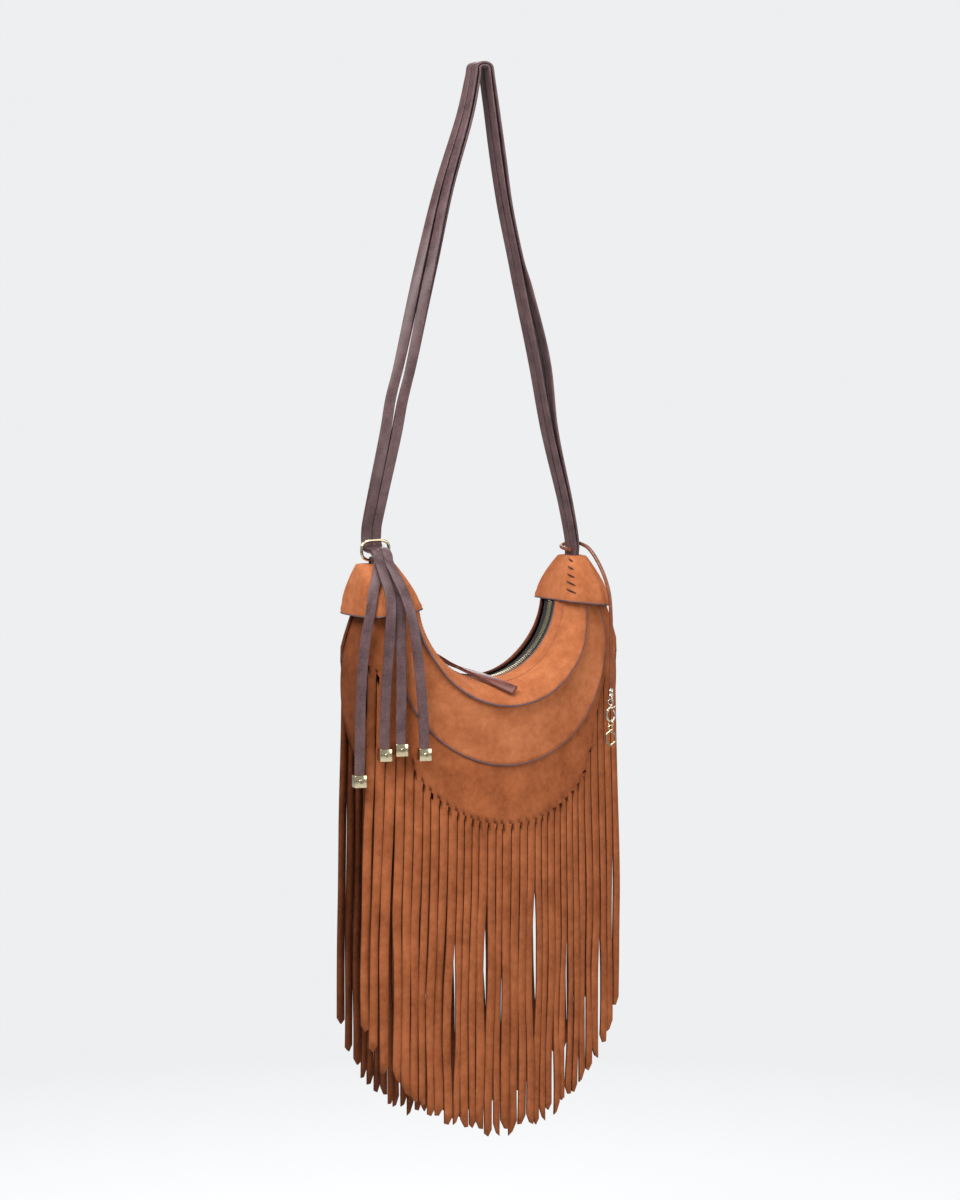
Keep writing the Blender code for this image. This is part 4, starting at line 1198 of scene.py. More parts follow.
class Body:
    """The bag's panels, tiers, gusset and lining."""

    def __init__(self, shape: BodyShape, finishes: Finishes) -> None:
        """Keep the shape and the materials."""
        self.shape = shape
        self.finishes = finishes

    def panels(self) -> None:
        """Front and back panels with their strips."""
        f = self.finishes
        front = FringePanel(self.shape, StripSizes(), Side.FRONT, 11)
        piece = front.build("fringe_front", self.shape.lapped_top, 14, [f.fringe, f.cut])
        fit(piece, "bag", "tan_suede", "front_fringe_panel")
        # The back panel takes the darker copy of the suede, as painted shade for the shadow it hangs in
        back = FringePanel(self.shape, StripSizes(count=34), Side.BACK, 23)
        rim = self.shape.sizes.rim_r + 0.0002
        piece = back.build("fringe_back", lambda angle: rim, 30, [f.shade, f.cut])
        fit(piece, "bag", "shade_suede", "back_fringe_panel")

    def tiers(self) -> None:
        """Upper and middle tier with their painted edges and the seam under the rim."""
        f = self.finishes
        s = self.shape.sizes
        upper = Tier(self.shape, TierSizes(s.upper_circle, s.upper_proud, 1.7, True), 3.0)

        def rim_top(angle: float) -> float:
            """Radius of the opening's suede edge."""
            return s.rim_r + 0.0002

        fit(upper.build("tier_upper", rim_top, [f.suede, f.paint]), "bag", "tan_suede", "front_upper_panel")
        fit(upper.edge("tier_upper_edge", rim_top, 1.0, 84.0, f.paint), "bag", "tan_suede")
        fit(upper.edge("rim_edge_front", rim_top, 0.0, 88.0, f.paint), "bag", "tan_suede")
        middle = Tier(self.shape, TierSizes(s.middle_circle, s.middle_proud, 1.0, False), 8.0)
        fit(middle.build("tier_middle", self.shape.middle_top, [f.suede, f.paint]), "bag", "tan_suede",
            "front_middle_panel")
        fit(middle.edge("tier_middle_edge", self.shape.middle_top, 1.0, 84.0, f.paint), "bag", "tan_suede")
        angles = [84.0 * (2.0 * i / 200 - 1.0) for i in range(201)]
        line = [self.shape.face(a, s.rim_r + 0.0036, s.upper_proud, Side.FRONT) for a in angles]
        inner = [self.shape.face(a, s.rim_r + 0.0030, s.upper_proud, Side.FRONT) for a in angles]
        outs = []
        for i, p in enumerate(line):
            along = (line[min(i + 1, 200)] - line[max(i - 1, 0)]).normalized()
            out = along.cross(p - inner[i]).normalized()
            outs.append(out if out.y < 0.0 else -out)
        fit(stitches("rim_seam", line, outs, 0.0023, 0.0011, 0.00030, f.stitch), "bag", "tan_suede")
        path = [self.shape.face(a, s.rim_r + 0.0006, 0.0, Side.BACK) for a in angles]
        bead = Shape()
        tube(bead, path, 0.0011, 8, flat=0.8, normal=Vector((0.0, 1.0, 0.0)))
        fit(bead.build("rim_edge_back", [f.paint], 60.0), "bag", "shade_suede")

    def gusset(self) -> None:
        """Side and bottom strip, drawn in a little between its seams."""
        s = self.shape.sizes
        shape = Shape()
        rows = []
        for i in range(121):
            angle = s.panel_end * (i / 60.0 - 1.0)
            radius = self.shape.body_radius(angle)
            row = []
            for k in range(9):
                across = k / 4.0 - 1.0
                sag = (1.0 - across * across) * (0.0016 + 0.0012 * wobble(angle * 0.08, across, 2.0))
                x, drop = self.shape.polar(angle, radius - sag)
                wide_x, wide_drop = self.shape.polar(angle, radius)
                reach = self.shape.half_depth(wide_x, wide_drop) - s.suede - 0.0008
                row.append(Vector((x, reach * across, s.rim_z - drop)))
            rows.append(shape.ring(row))
        for one, two in zip(rows, rows[1:]):
            shape.bridge(one, two, False)
        # The gusset takes the darker copy of the suede, as painted shade for the shadow between the panels
        piece = shape.build("gusset_strip", [self.finishes.shade, self.finishes.cut], 60.0)
        outward(piece, Vector((0.0, 0.0, -1.0)))
        thicken(piece, s.suede, -1.0, 1)
        fit(piece, "bag", "shade_suede", "gusset")

    def lining(self) -> None:
        """Cloth pocket inside the bag."""
        s = self.shape.sizes
        rim_r = 0.0858
        shape = Shape()
        rows = []
        for i in range(73):
            angle = 88.0 * (i / 36.0 - 1.0)
            low = self.shape.body_radius(angle) - s.suede - s.lining
            half = []
            for t in (0.0, 0.02, 0.06, 0.13, 0.22, 0.34, 0.5, 0.66, 0.82, 1.0):
                radius = rim_r + (low - rim_r) * t
                p = self.shape.face(angle, radius, -0.0056, Side.FRONT, rim_r, 0.0128)
                fold = wobble(angle * 0.09, t * 3.0, 4.0) * 0.0016 * smooth(0.1, 0.4, t) * (1.0 - smooth(0.8, 1.0, t))
                half.append(p + Vector((0.0, 0.0012 * smooth(0.1, 0.4, t) * (1.0 - smooth(0.8, 1.0, t)) + fold, 0.0)))
            lip = self.shape.rim(angle, rim_r - 0.0002, 0.0098)
            back = [Vector((p.x, -p.y, p.z)) for p in reversed(half)]
            rows.append(shape.ring([lip, *half, *back, Vector((lip.x, -lip.y, lip.z))]))
        for one, two in zip(rows, rows[1:]):
            shape.bridge(one, two, False)
        piece = shape.build("pocket_lining", [self.finishes.lining], 60.0)
        outward(piece, Vector((0.0, 0.0, -1.0)))
        thicken(piece, s.lining)
        fit(piece, "bag", "lining_cloth", "lining")

    def build(self) -> None:
        """Make every piece of the body."""
        self.panels()
        self.tiers()
        self.gusset()
        self.lining()


@dataclass(frozen=True)
class CollarSizes:
    """Sizes of one collar over an end of the bag."""

    foot_x: float
    foot: tuple[float, float]
    top_x: float
    top: tuple[float, float]
    out: float
    slot: tuple[float, float]
    wall: float = 0.0022
    square: float = 0.5
    top_up: float = 0.037
    foot_in: float = 0.001
    foot_out: float = 0.007
    lap: float = 0.0055
    points: int = 72


class Collar:
    """Suede cap over one end of the bag, slotted on top for the strap or the ring tab."""

    def __init__(self, sizes: CollarSizes, rim_z: float) -> None:
        """Keep the sizes."""
        self.sizes = sizes
        self.rim_z = rim_z

    def outline(self, t: float, shrink: float, drop: float = 0.0) -> list[Vector]:
        """One level of the collar.

        Args:
            t: Place from the foot, 0, to the top, 1.
            shrink: How far it is drawn in.
            drop: How far it is lowered.

        Returns:
            Its outline.
        """
        s = self.sizes
        mid = -(s.foot_in + s.foot_out) / 2.0
        lean = -s.out * (s.foot_out - s.foot_in) / 2.0
        share = max(t, 0.0) ** 1.45
        half = [f + (p - f) * share for f, p in zip(s.foot, s.top)]
        x_mid = s.foot_x + (s.top_x - s.foot_x) * t
        height = mid + (s.top_up - mid) * t - drop
        ring = []
        for i in range(s.points):
            a = 2.0 * math.pi * i / s.points
            c, sn = math.cos(a), math.sin(a)
            dx = math.copysign(abs(c) ** s.square, c) * (half[0] - shrink)
            dy = math.copysign(abs(sn) ** s.square, sn) * (half[1] - shrink)
            tilt = lean * (1.0 - t) * dx / half[0]
            ring.append(Vector((x_mid + dx, dy, self.rim_z + height + tilt)))
        return ring

    def slot_ring(self, drop: float) -> list[Vector]:
        """Outline of the slot in the top."""
        s = self.sizes
        ring = []
        for i in range(s.points):
            a = 2.0 * math.pi * i / s.points
            c, sn = math.cos(a), math.sin(a)
            ring.append(Vector((s.top_x + math.copysign(abs(c) ** 0.35, c) * s.slot[0],
                                math.copysign(abs(sn) ** 0.35, sn) * s.slot[1],
                                self.rim_z + s.top_up - drop)))
        return ring

    def build(self, name: str, materials: Sequence[bpy.types.Material]) -> bpy.types.Object:
        """Make the collar.

        Args:
            name: The piece's name.
            materials: Suede, then its edge paint.

        Returns:
            The collar.
        """
        s = self.sizes
        foot = -s.lap / (s.top_up + (s.foot_in + s.foot_out) / 2.0)
        inner = [self.outline(t, s.wall, 0.0) for t in (0.9, 0.7, 0.5, 0.3, 0.1)]
        inner.append(self.outline(foot, s.wall - 0.0012))
        outer = [self.outline(foot + (1.0 - foot) * k / 12, 0.0012 * (-1.0 if k < 2 else 0.0)) for k in range(12)]
        crown = [self.outline(0.985, 0.0), self.outline(1.0, 0.0006), self.outline(1.0, 0.0020, -0.0003)]
        shape = Shape()
        rows = [shape.ring(r) for r in [*inner, *outer, *crown, self.slot_ring(-0.0002), self.slot_ring(0.0025)]]
        for i, (one, two) in enumerate(zip(rows, rows[1:])):
            shape.bridge(one, two, True, 1 if i == 5 else 0)
        return shape.build(name, materials, 62.0)

    def edge_line(self, lift: float) -> list[Vector]:
        """Line round the collar's foot, for the seam or the edge bead."""
        s = self.sizes
        foot = -s.lap / (s.top_up + (s.foot_in + s.foot_out) / 2.0)
        return self.outline(foot + lift / 0.045, -0.0012)


class Collars:
    """Both collars, with their painted foot edges and the whip stitches of the right one."""

    def __init__(self, finishes: Finishes, rim_z: float) -> None:
        """Set the sizes of both."""
        self.finishes = finishes
        self.left = Collar(CollarSizes(-0.1130, (0.030, 0.041), -0.1190, (0.019, 0.0110), -1.0,
                                       (0.00635, 0.0043)), rim_z)
        self.right = Collar(CollarSizes(0.1085, (0.028, 0.039), 0.1075, (0.011, 0.0145), 1.0,
                                        (0.00315, 0.0108)), rim_z)

    def whip_stitches(self) -> bpy.types.Object:
        """Five thick dark stitches over the right collar's inner corner."""
        shape = Shape()
        for k in range(5):
            t = 0.90 - 0.19 * k
            ring = self.right.outline(t, -0.0004)
            # The corner that faces the opening and the front
            corner = min(range(len(ring)), key=lambda i: ring[i].x + ring[i].y)
            line = []
            for j in range(-3, 4):
                p = ring[(corner + j) % len(ring)]
                line.append(p + Vector((-0.0003, -0.0003, -0.0006 * j)))
            line = curve_points(line, 2)
            widths = [0.00085 * (0.55 + 0.45 * math.sin(math.pi * i / (len(line) - 1))) for i in range(len(line))]
            tube(shape, line, widths, 8)
        return shape.build("whip_stitches", [self.finishes.thread], 60.0)

    def build(self) -> None:
        """Make both."""
        f = self.finishes
        fit(self.left.build("collar_left", [f.suede, f.paint]), "bag", "tan_suede", "left_collar")
        fit(self.right.build("collar_right", [f.suede, f.paint]), "bag", "tan_suede", "right_collar")
        for name, collar in (("collar_left_edge", self.left), ("collar_right_edge", self.right)):
            shape = Shape()
            tube(shape, collar.edge_line(0.0), 0.00075, 6, closed=True)
            fit(shape.build(name, [f.paint], 60.0), "bag", "tan_suede")
        fit(self.whip_stitches(), "bag", "tan_suede")


def rounded_section(half_x: float, half_y: float, corner: float, steps: int = 3) -> Section:
    """Rounded rectangle.

    Args:
        half_x: Half its width.
        half_y: Half its height.
        corner: Corner radius.
        steps: Steps round each corner.

    Returns:
        Its points, starting at the middle of the right side's lower corner.
    """
    out = []
    for cx, cy, start in ((1, -1, -90), (1, 1, 0), (-1, 1, 90), (-1, -1, 180)):
        for k in range(steps + 1):
            a = math.radians(start + 90.0 * k / steps)
            out.append((cx * (half_x - corner) + corner * math.cos(a),
                        cy * (half_y - corner) + corner * math.sin(a)))
    return out


def rounded_box(shape: Shape, centre: Vector, axes: tuple[Vector, Vector, Vector],
                halves: tuple[float, float, float], bevel: float, slot: int = 0) -> None:
    """Box with rounded edges.

    Args:
        shape: Shape that takes it.
        centre: Its middle.
        axes: Its three directions.
        halves: Half its size along each of them.
        bevel: Radius of its edges.
        slot: Material slot.
    """
    rings = []
    for height, inset in ((-1.0, 1.0), (-1.0 + 0.3 * bevel / halves[2], 0.3), (-1.0 + bevel / halves[2], 0.0),
                          (1.0 - bevel / halves[2], 0.0), (1.0 - 0.3 * bevel / halves[2], 0.3), (1.0, 1.0)):
        section = rounded_section(halves[0] - bevel * inset, halves[1] - bevel * inset,
                                  bevel * (1.05 - 0.8 * inset))
        rings.append([centre + axes[0] * x + axes[1] * y + axes[2] * (height * halves[2]) for x, y in section])
    shape.loft(rings, True, True, slot, slot)


def lathe(shape: Shape, centre: Vector, profile: Section, sides: int = 28, slot: int = 0,
          axes: tuple[Vector, Vector, Vector] | None = None) -> None:
    """Turned part.

    Args:
        shape: Shape that takes it.
        centre: Point on its axis.
        profile: Radius and height of each ring.
        sides: Points round it.
        slot: Material slot.
        axes: Two directions across it and one along it, if not X, Y and Z.
    """
    one, two, three = axes or (Vector((1, 0, 0)), Vector((0, 1, 0)), Vector((0, 0, 1)))
    rings = [[centre + one * (r * math.cos(a)) + two * (r * math.sin(a)) + three * h
              for a in (2.0 * math.pi * k / sides for k in range(sides))] for r, h in profile]
    shape.loft(rings, True, True, slot, slot)


def ribbon(shape: Shape, path: Sequence[Vector], sides: Sequence[Vector], width: float | Sequence[float],
           thickness: float, corner: float = 0.0005, face_slot: int = 0, edge_slot: int = 1) -> None:
    """Flat strip along a path, its narrow sides in their own material.

    Args:
        shape: Shape that takes it.
        path: Its middle.
        sides: Its width direction at each point.
        width: Its width, or one a point.
        thickness: Its thickness.
        corner: Radius of its corners.
        face_slot: Material slot of its two faces.
        edge_slot: Material slot of its narrow sides.
    """
    rings = []
    slots: list[int] = []
    for i, (p, way) in enumerate(zip(path, tangents(path))):
        side = (sides[i] - way * sides[i].dot(way)).normalized()
        normal = side.cross(way)
        w = width if isinstance(width, float) else width[i]
        section = rounded_section(w / 2.0, thickness / 2.0, min(corner, thickness * 0.45), 2)
        if not slots:
            for k, (x, _) in enumerate(section):
                after = section[(k + 1) % len(section)][0]
                slots.append(edge_slot if min(abs(x), abs(after)) > w / 2.0 - corner * 1.2 else face_slot)
        rings.append([p + side * x + normal * y for x, y in section])
    shape.loft(rings, True, True, slots, edge_slot)


def wire_ring(shape: Shape, centre: Vector, across: Vector, up: Vector, half: tuple[float, float],
              wire: float, square: float = 1.0, points: int = 48, slot: int = 0) -> None:
    """Round or oval ring of wire.

    Args:
        shape: Shape that takes it.
        centre: Its middle.
        across: Its first direction.
        up: Its second direction.
        half: Half its size in both, to the wire's middle.
        wire: The wire's radius.
        square: 1 for an oval, smaller for squarer.
        points: Points round it.
        slot: Material slot.
    """
    path = []
    for i in range(points):
        a = 2.0 * math.pi * (i + 0.5) / points
        c, s = math.cos(a), math.sin(a)
        path.append(centre + across * (math.copysign(abs(c) ** square, c) * half[0])
                    + up * (math.copysign(abs(s) ** square, s) * half[1]))
    tube(shape, path, wire, 12, closed=True, slot=slot, normal=across.cross(up))


def loop_points(corners: Sequence[Vector], radius: float, steps: int) -> list[Vector]:
    """Closed polygon with rounded corners.

    Args:
        corners: Its corners.
        radius: How far from each corner the rounding starts.
        steps: Steps round each corner.

    Returns:
        Its points.
    """
    out = []
    for i, corner in enumerate(corners):
        before = (corners[i - 1] - corner).normalized() * radius
        after = (corners[(i + 1) % len(corners)] - corner).normalized() * radius
        out += [corner + before * (1.0 - k / steps) ** 2 + after * (k / steps) ** 2 for k in range(steps + 1)]
    return out


class CharmCord:
    """Thin leather cord over the strap's foot, with the cap on its end."""

    ROUTE = (
        (0.1020, -0.0060, -0.4810), (0.1010, 0.0060, -0.4800), (0.1030, 0.0135, -0.4785),
        (0.1080, 0.0155, -0.4765), (0.1128, 0.0125, -0.4750), (0.1145, 0.0040, -0.4745),
        (0.1150, -0.0060, -0.4755), (0.1175, -0.0170, -0.4800), (0.1210, -0.0275, -0.4920),
        (0.1235, -0.0375, -0.5080), (0.1248, -0.0440, -0.5250), (0.1256, -0.0458, -0.5450),
        (0.1262, -0.0455, -0.5720), (0.1268, -0.0445, -0.5990), (0.1268, -0.0440, -0.6195),
    )
    RADIUS = 0.0019

    def __init__(self, finishes: Finishes) -> None:
        """Lay out the cord's path."""
        self.finishes = finishes
        self.path = curve_points([Vector(p) for p in self.ROUTE], 7)

    def build(self) -> bpy.types.Object:
        """Make the cord."""
        shape = Shape()
        tube(shape, self.path, self.RADIUS, 14)
        cord = shape.build("hanging_cord", [self.finishes.cord], 60.0)
        return fit(cord, "bag", "shade_suede", "charm_cord")

    def declare(self, cord: bpy.types.Object, pieces: Sequence[bpy.types.Object]) -> None:
        """Take the cord and the pieces that hang on it, and only run through the pieces."""
        list(pieces)


class CharmHardware:
    """Cap, trigger clasp, jump ring and open six-sided charm."""

    X = Vector((1.0, 0.0, 0.0))
    Y = Vector((0.0, 1.0, 0.0))
    Z = Vector((0.0, 0.0, 1.0))

    def __init__(self, finishes: Finishes) -> None:
        """Place the parts down one line."""
        self.finishes = finishes
        self.cap_top = Vector((0.1268, -0.0440, -0.6200))
        self.cap_eye = Vector((0.1268, -0.0440, -0.6293))
        self.clasp_eye = Vector((0.1268, -0.0440, -0.6334))
        self.hook = Vector((0.1268, -0.0440, -0.6469))
        self.lever_pivot = Vector((0.1306, -0.0440, -0.6389))
        self.jump = Vector((0.1268, -0.0440, -0.65475))
        self.charm_eye = Vector((0.1268, -0.0440, -0.65955))

    def cap(self) -> bpy.types.Object:
        """Cap on the cord's end, with its eye."""
        shape = Shape()
        lathe(shape, self.cap_top, [(0.0022, 0.0004), (0.0027, 0.0), (0.0029, -0.0006), (0.0027, -0.0012),
                                    (0.0030, -0.0019), (0.0030, -0.0052), (0.0027, -0.0058), (0.0029, -0.0064),
                                    (0.0024, -0.0074), (0.0012, -0.0078)])
        wire_ring(shape, Vector((0.1268, -0.0440, -0.6301)), self.Y, self.Z, (0.0029, 0.0029), 0.0007)
        return fit(shape.build("cord_cap", [self.finishes.silver], 40.0), "bag", "pale_gold", "cord_end_cap")

    def clasp(self) -> bpy.types.Object:
        """Hook, neck and swivel eye of the clasp."""
        shape = Shape()
        wire_ring(shape, self.clasp_eye, self.X, self.Z, (0.0029, 0.0029), 0.0007)
        lathe(shape, self.clasp_eye, [(0.0008, -0.0029), (0.0019, -0.0031), (0.0020, -0.0040), (0.0014, -0.0045),
                                      (0.0012, -0.0058)], 20)
        arc = [math.radians(60.0 - 300.0 * k / 40) for k in range(41)]
        path = [self.hook + Vector((0.0048 * math.cos(a), 0.0, 0.0048 * 1.25 * math.sin(a))) for a in arc]
        radii = [0.00095 + 0.00035 * math.sin(math.pi * min(k / 40 * 1.15, 1.0)) for k in range(41)]
        tube(shape, path, radii, 12, flat=1.1, normal=self.Y)
        neck = [self.clasp_eye + Vector((x, 0.0, z)) for x, z in
                ((0.0, -0.0045), (-0.0012, -0.0058), (-0.0031, -0.0072), (-0.0042, -0.0092), (-0.0046, -0.0115))]
        tube(shape, curve_points(neck, 4), 0.00125, 12, normal=self.Y)
        return fit(shape.build("clasp_hook_piece", [self.finishes.silver], 40.0), "clasp", "pale_gold",
                   "clasp_body")

    def lever(self) -> bpy.types.Object:
        """Thumb lever that closes the hook."""
        shape = Shape()
        line = [self.lever_pivot + Vector((x, 0.0, z)) for x, z in
                ((0.0010, 0.0010), (-0.0004, 0.0002), (-0.0022, -0.0004), (-0.0044, -0.0008))]
        path = curve_points(line, 5)
        ribbon(shape, path, [self.Y] * len(path), 0.0021, 0.0010, 0.0003, 0, 0)
        lathe(shape, self.lever_pivot + self.Y * -0.0011, [(0.0006, 0.0), (0.0008, 0.0002), (0.0008, 0.0020),
                                                           (0.0006, 0.0022)], 16,
              axes=(self.X, self.Z, self.Y))
        return fit(shape.build("clasp_thumb_lever", [self.finishes.silver], 40.0), "lever", "pale_gold",
                   "clasp_lever")

    def jump_ring(self) -> bpy.types.Object:
        """Jump ring between the clasp and the charm."""
        shape = Shape()
        wire_ring(shape, self.jump, self.Y, self.Z, (0.0041, 0.0041), 0.0007)
        return fit(shape.build("small_jump_ring", [self.finishes.gold], 40.0), "jump", "pale_gold", "jump_ring")

    def charm(self) -> bpy.types.Object:
        """Open six-sided charm with its eye."""
        shape = Shape()
        wire_ring(shape, self.charm_eye, self.X, self.Z, (0.0024, 0.0024), 0.0007)
        centre = self.charm_eye - Vector((0.0, 0.0, 0.0107))
        outline = ((0.0, 0.0088), (0.0062, 0.0046), (0.0062, -0.0046), (0.0, -0.0088), (-0.0062, -0.0046),
                   (-0.0062, 0.0046))
        section = ((1.0, -0.55), (0.96, -1.0), (0.76, -1.0), (0.71, -0.55), (0.71, 0.55), (0.76, 1.0),
                   (0.96, 1.0), (1.0, 0.55))
        rows = [shape.ring([centre + Vector((x * k, y * 0.0009, z * k)) for x, z in outline]) for k, y in section]
        for one, two in zip(rows, [*rows[1:], rows[0]]):
            shape.bridge(one, two)
        return fit(shape.build("open_hexagon", [self.finishes.gold], 30.0), "charm", "pale_gold", "charm")

    def build(self) -> list[bpy.types.Object]:
        """Make all of it, from the cap down."""
        return [self.cap(), self.clasp(), self.lever(), self.jump_ring(), self.charm()]


@dataclass(frozen=True)
class LaceSizes:
    """Sizes of the four strap laces."""

    width: float = 0.0100
    thickness: float = 0.0022
    beside: float = 0.0104
    above: float = 0.0029
    steps: int = 9


class Strap:
    """Four suede laces bunched two by two, from the right collar over the top to the ring and its tails."""

    ROUTE = (
        (0.1075, -0.5060, 0.0), (0.1075, -0.4860, 0.0), (0.1070, -0.4700, 0.0), (0.0985, -0.4300, 0.0),
        (0.0810, -0.3600, 0.0), (0.0690, -0.2900, 0.0), (0.0500, -0.2200, 0.0), (0.0410, -0.1880, 0.0),
        (0.0290, -0.1360, 0.0), (0.0210, -0.0900, 0.0), (0.0135, -0.0430, 0.0), (0.0083, -0.0100, 0.0),
        (0.0066, 0.0012, 0.0), (0.0, 0.0040, 0.0), (-0.0066, 0.0012, 0.0), (-0.0083, -0.0100, 0.0),
        (-0.0180, -0.0500, 0.06), (-0.0410, -0.1180, 0.2), (-0.0595, -0.1880, 0.4), (-0.0699, -0.2290, 0.5),
        (-0.0849, -0.2910, 0.65), (-0.0947, -0.3260, 0.75), (-0.1016, -0.3600, 0.85), (-0.1150, -0.4150, 1.0),
    )
    RING_PASS = ((0.0050, 0.0780), (0.0074, 0.0680), (0.0076, 0.0590), (0.0038, 0.0522), (-0.0030, 0.0508),
                 (-0.0098, 0.0500), (-0.0155, 0.0457), (-0.0186, 0.0385))
    TAILS = (
        ((-0.1302, -0.0240, 0.0265), (-0.1388, -0.0325, 0.0125), (-0.1440, -0.0365, -0.0060),
         (-0.1500, -0.0350, -0.0400), (-0.1535, -0.0340, -0.0900), (-0.1555, -0.0345, -0.1420),
         (-0.1560, -0.0345, -0.1730)),
        ((-0.1252, -0.0315, 0.0245), (-0.1260, -0.0430, 0.0090), (-0.1280, -0.0485, -0.0080),
         (-0.1295, -0.0470, -0.0400), (-0.1310, -0.0430, -0.0900), (-0.1315, -0.0415, -0.1230),
         (-0.1315, -0.0415, -0.1480)),
        ((-0.1150, -0.0270, 0.0255), (-0.1155, -0.0375, 0.0090), (-0.1160, -0.0455, -0.0080),
         (-0.1165, -0.0475, -0.0400), (-0.1170, -0.0490, -0.0900), (-0.1175, -0.0485, -0.1180),
         (-0.1175, -0.0485, -0.1430)),
        ((-0.1130, -0.0335, 0.0250), (-0.1105, -0.0450, 0.0090), (-0.1085, -0.0530, -0.0080),
         (-0.1040, -0.0565, -0.0400), (-0.0985, -0.0570, -0.0900), (-0.0960, -0.0565, -0.1220),
         (-0.0955, -0.0560, -0.1480)),
    )
    LEAN = Vector((-0.975, 0.22, 0.0))

    def __init__(self, sizes: LaceSizes, finishes: Finishes, rim_z: float) -> None:
        """Keep the sizes."""
        self.sizes = sizes
        self.finishes = finishes
        self.rim_z = rim_z

    def frames(self) -> list[tuple[Vector, Vector, Vector]]:
        """Middle, width direction and outward direction at each point of the bunch."""
        points = [Vector((x, 0.0, z)) for x, z, _ in self.ROUTE]
        turns = [turn for _, _, turn in self.ROUTE]
        for y, up in self.RING_PASS:
            points.append(Vector((-0.1195, y, self.rim_z + up)))
            turns.append(1.0)
        out = []
        for i, p in enumerate(points):
            way = (points[min(i + 1, len(points) - 1)] - points[max(i - 1, 0)]).normalized()
            a = turns[i] * math.pi / 2.0
            side = Vector((-math.sin(a), math.cos(a), 0.0))
            side = (side - way * side.dot(way)).normalized()
            out.append((p, side, side.cross(way)))
        return out

    def loosen(self, i: int, count: int) -> tuple[float, float]:
        """How far the laces stand apart at a point of the bunch.

        Args:
            i: The point.
            count: Number of points of the bunch.

        Returns:
            Extra distance beside and above each other.
        """
        ends = smooth(1.0, 4.0, i) * (1.0 - smooth(count - 11.0, count - 8.0, i))
        top = 1.0 - smooth(0.0, 3.0, 3.0 - abs(i - 13.0))
        room = ends * top
        gap = math.exp(-((i - 5.2) / 0.9) ** 2)
        return (room * (0.0007 + 0.0005 * wobble(i * 0.7, 1.0, 0.0)),
                room * (0.0008 + 0.0006 * wobble(i * 0.6, 4.0, 0.0) + 0.0038 * gap))

    def lace(self, k: int) -> bpy.types.Object:
        """Make one lace with its tail."""
        s = self.sizes
        column = 1.0 if k < 2 else -1.0
        layer = 1.0 if k in (1, 3) else -1.0
        frames = self.frames()
        route, sides = [], []
        for i, (p, side, out) in enumerate(frames):
            beside, above = self.loosen(i, len(frames))
            route.append(p + side * (column * (s.beside / 2.0 + beside)) + out * (layer * (s.above / 2.0 + above)))
            turn = wobble(i * 0.55, k * 3.0, 9.0) * 0.30 * min(above / 0.0010, 1.0)
            sides.append((side * math.cos(turn) + out * math.sin(turn)).normalized())
        for n, (x, y, up) in enumerate(self.TAILS[k]):
            route.append(Vector((x, y, self.rim_z + up)))
            turn = wobble(n * 0.8, k * 5.0, 2.0) * 0.30 * (1.0 if 2 < n < 6 else 0.0)
            front = Vector((-0.22, -0.975, 0.0))
            sides.append((self.LEAN * math.cos(turn) + front * math.sin(turn)).normalized())
        path = curve_points(route, s.steps)
        ways = []
        for i in range(len(path)):
            j = min(i // s.steps, len(sides) - 2)
            ways.append(sides[j].lerp(sides[j + 1], i / s.steps - j).normalized())
        shape = Shape()
        ribbon(shape, path, ways, s.width, s.thickness, 0.0006)
        piece = shape.build(f"lace_{k + 1}", [self.finishes.strap, self.finishes.strap_paint], 50.0)
        return fit(piece, "bag", "tan_suede", f"strap_lace_{k + 1}")

    def end_cube(self, k: int) -> bpy.types.Object:
        """Metal cube on a lace's end, open on top."""
        lean, front = self.LEAN.normalized(), Vector((-0.22, -0.975, 0.0)).normalized()
        x, y, up = self.TAILS[k][-1]
        centre = Vector((x, y, self.rim_z + up + 0.0008))
        half = 0.0061
        shape = Shape()
        rings = []
        for size, height in ((half - 0.0007, -half), (half - 0.0002, -half + 0.0002), (half, -half + 0.0007),
                             (half, half - 0.0007), (half - 0.0002, half - 0.0002), (half - 0.0007, half)):
            rings.append([centre + lean * a + front * b + Vector((0.0, 0.0, height))
                          for a, b in rounded_section(size, size, 0.0007)])
        for height in (half, half - 0.0045):
            rings.append([centre + lean * a + front * b + Vector((0.0, 0.0, height))
                          for a, b in rounded_section(0.0053, 0.0014, 0.0004)])
        shape.loft(rings)
        return fit(shape.build(f"end_cube_{k + 1}", [self.finishes.gold], 35.0), "bag", "pale_gold",
                   f"lace_cube_{k + 1}")

    def set_screw(self, k: int) -> bpy.types.Object:
        """Small socket screw in the cube's front."""
        lean, front = self.LEAN.normalized(), Vector((-0.22, -0.975, 0.0)).normalized()
        x, y, up = self.TAILS[k][-1]
        base = Vector((x, y, self.rim_z + up + 0.0008)) + front * 0.0061
        shape = Shape()
        rings = []
        for r, depth in ((0.0021, -0.0002), (0.0021, 0.0011), (0.0018, 0.0014)):
            rings.append([base + front * depth + lean * (r * math.cos(a)) + Vector((0.0, 0.0, r * math.sin(a)))
                          for a in (2.0 * math.pi * i / 24 for i in range(24))])
        for depth in (0.0014, 0.0004):
            ring = []
            for i in range(24):
                a = 2.0 * math.pi * i / 24
                r = 0.0010 / math.cos((a + math.pi / 6.0) % (math.pi / 3.0) - math.pi / 6.0)
                ring.append(base + front * depth + lean * (r * math.cos(a)) + Vector((0.0, 0.0, r * math.sin(a))))
            rings.append(ring)
        shape.loft(rings)
        return fit(shape.build(f"set_screw_{k + 1}", [self.finishes.gold], 35.0), "bag", "pale_gold",
                   f"cube_screw_{k + 1}")

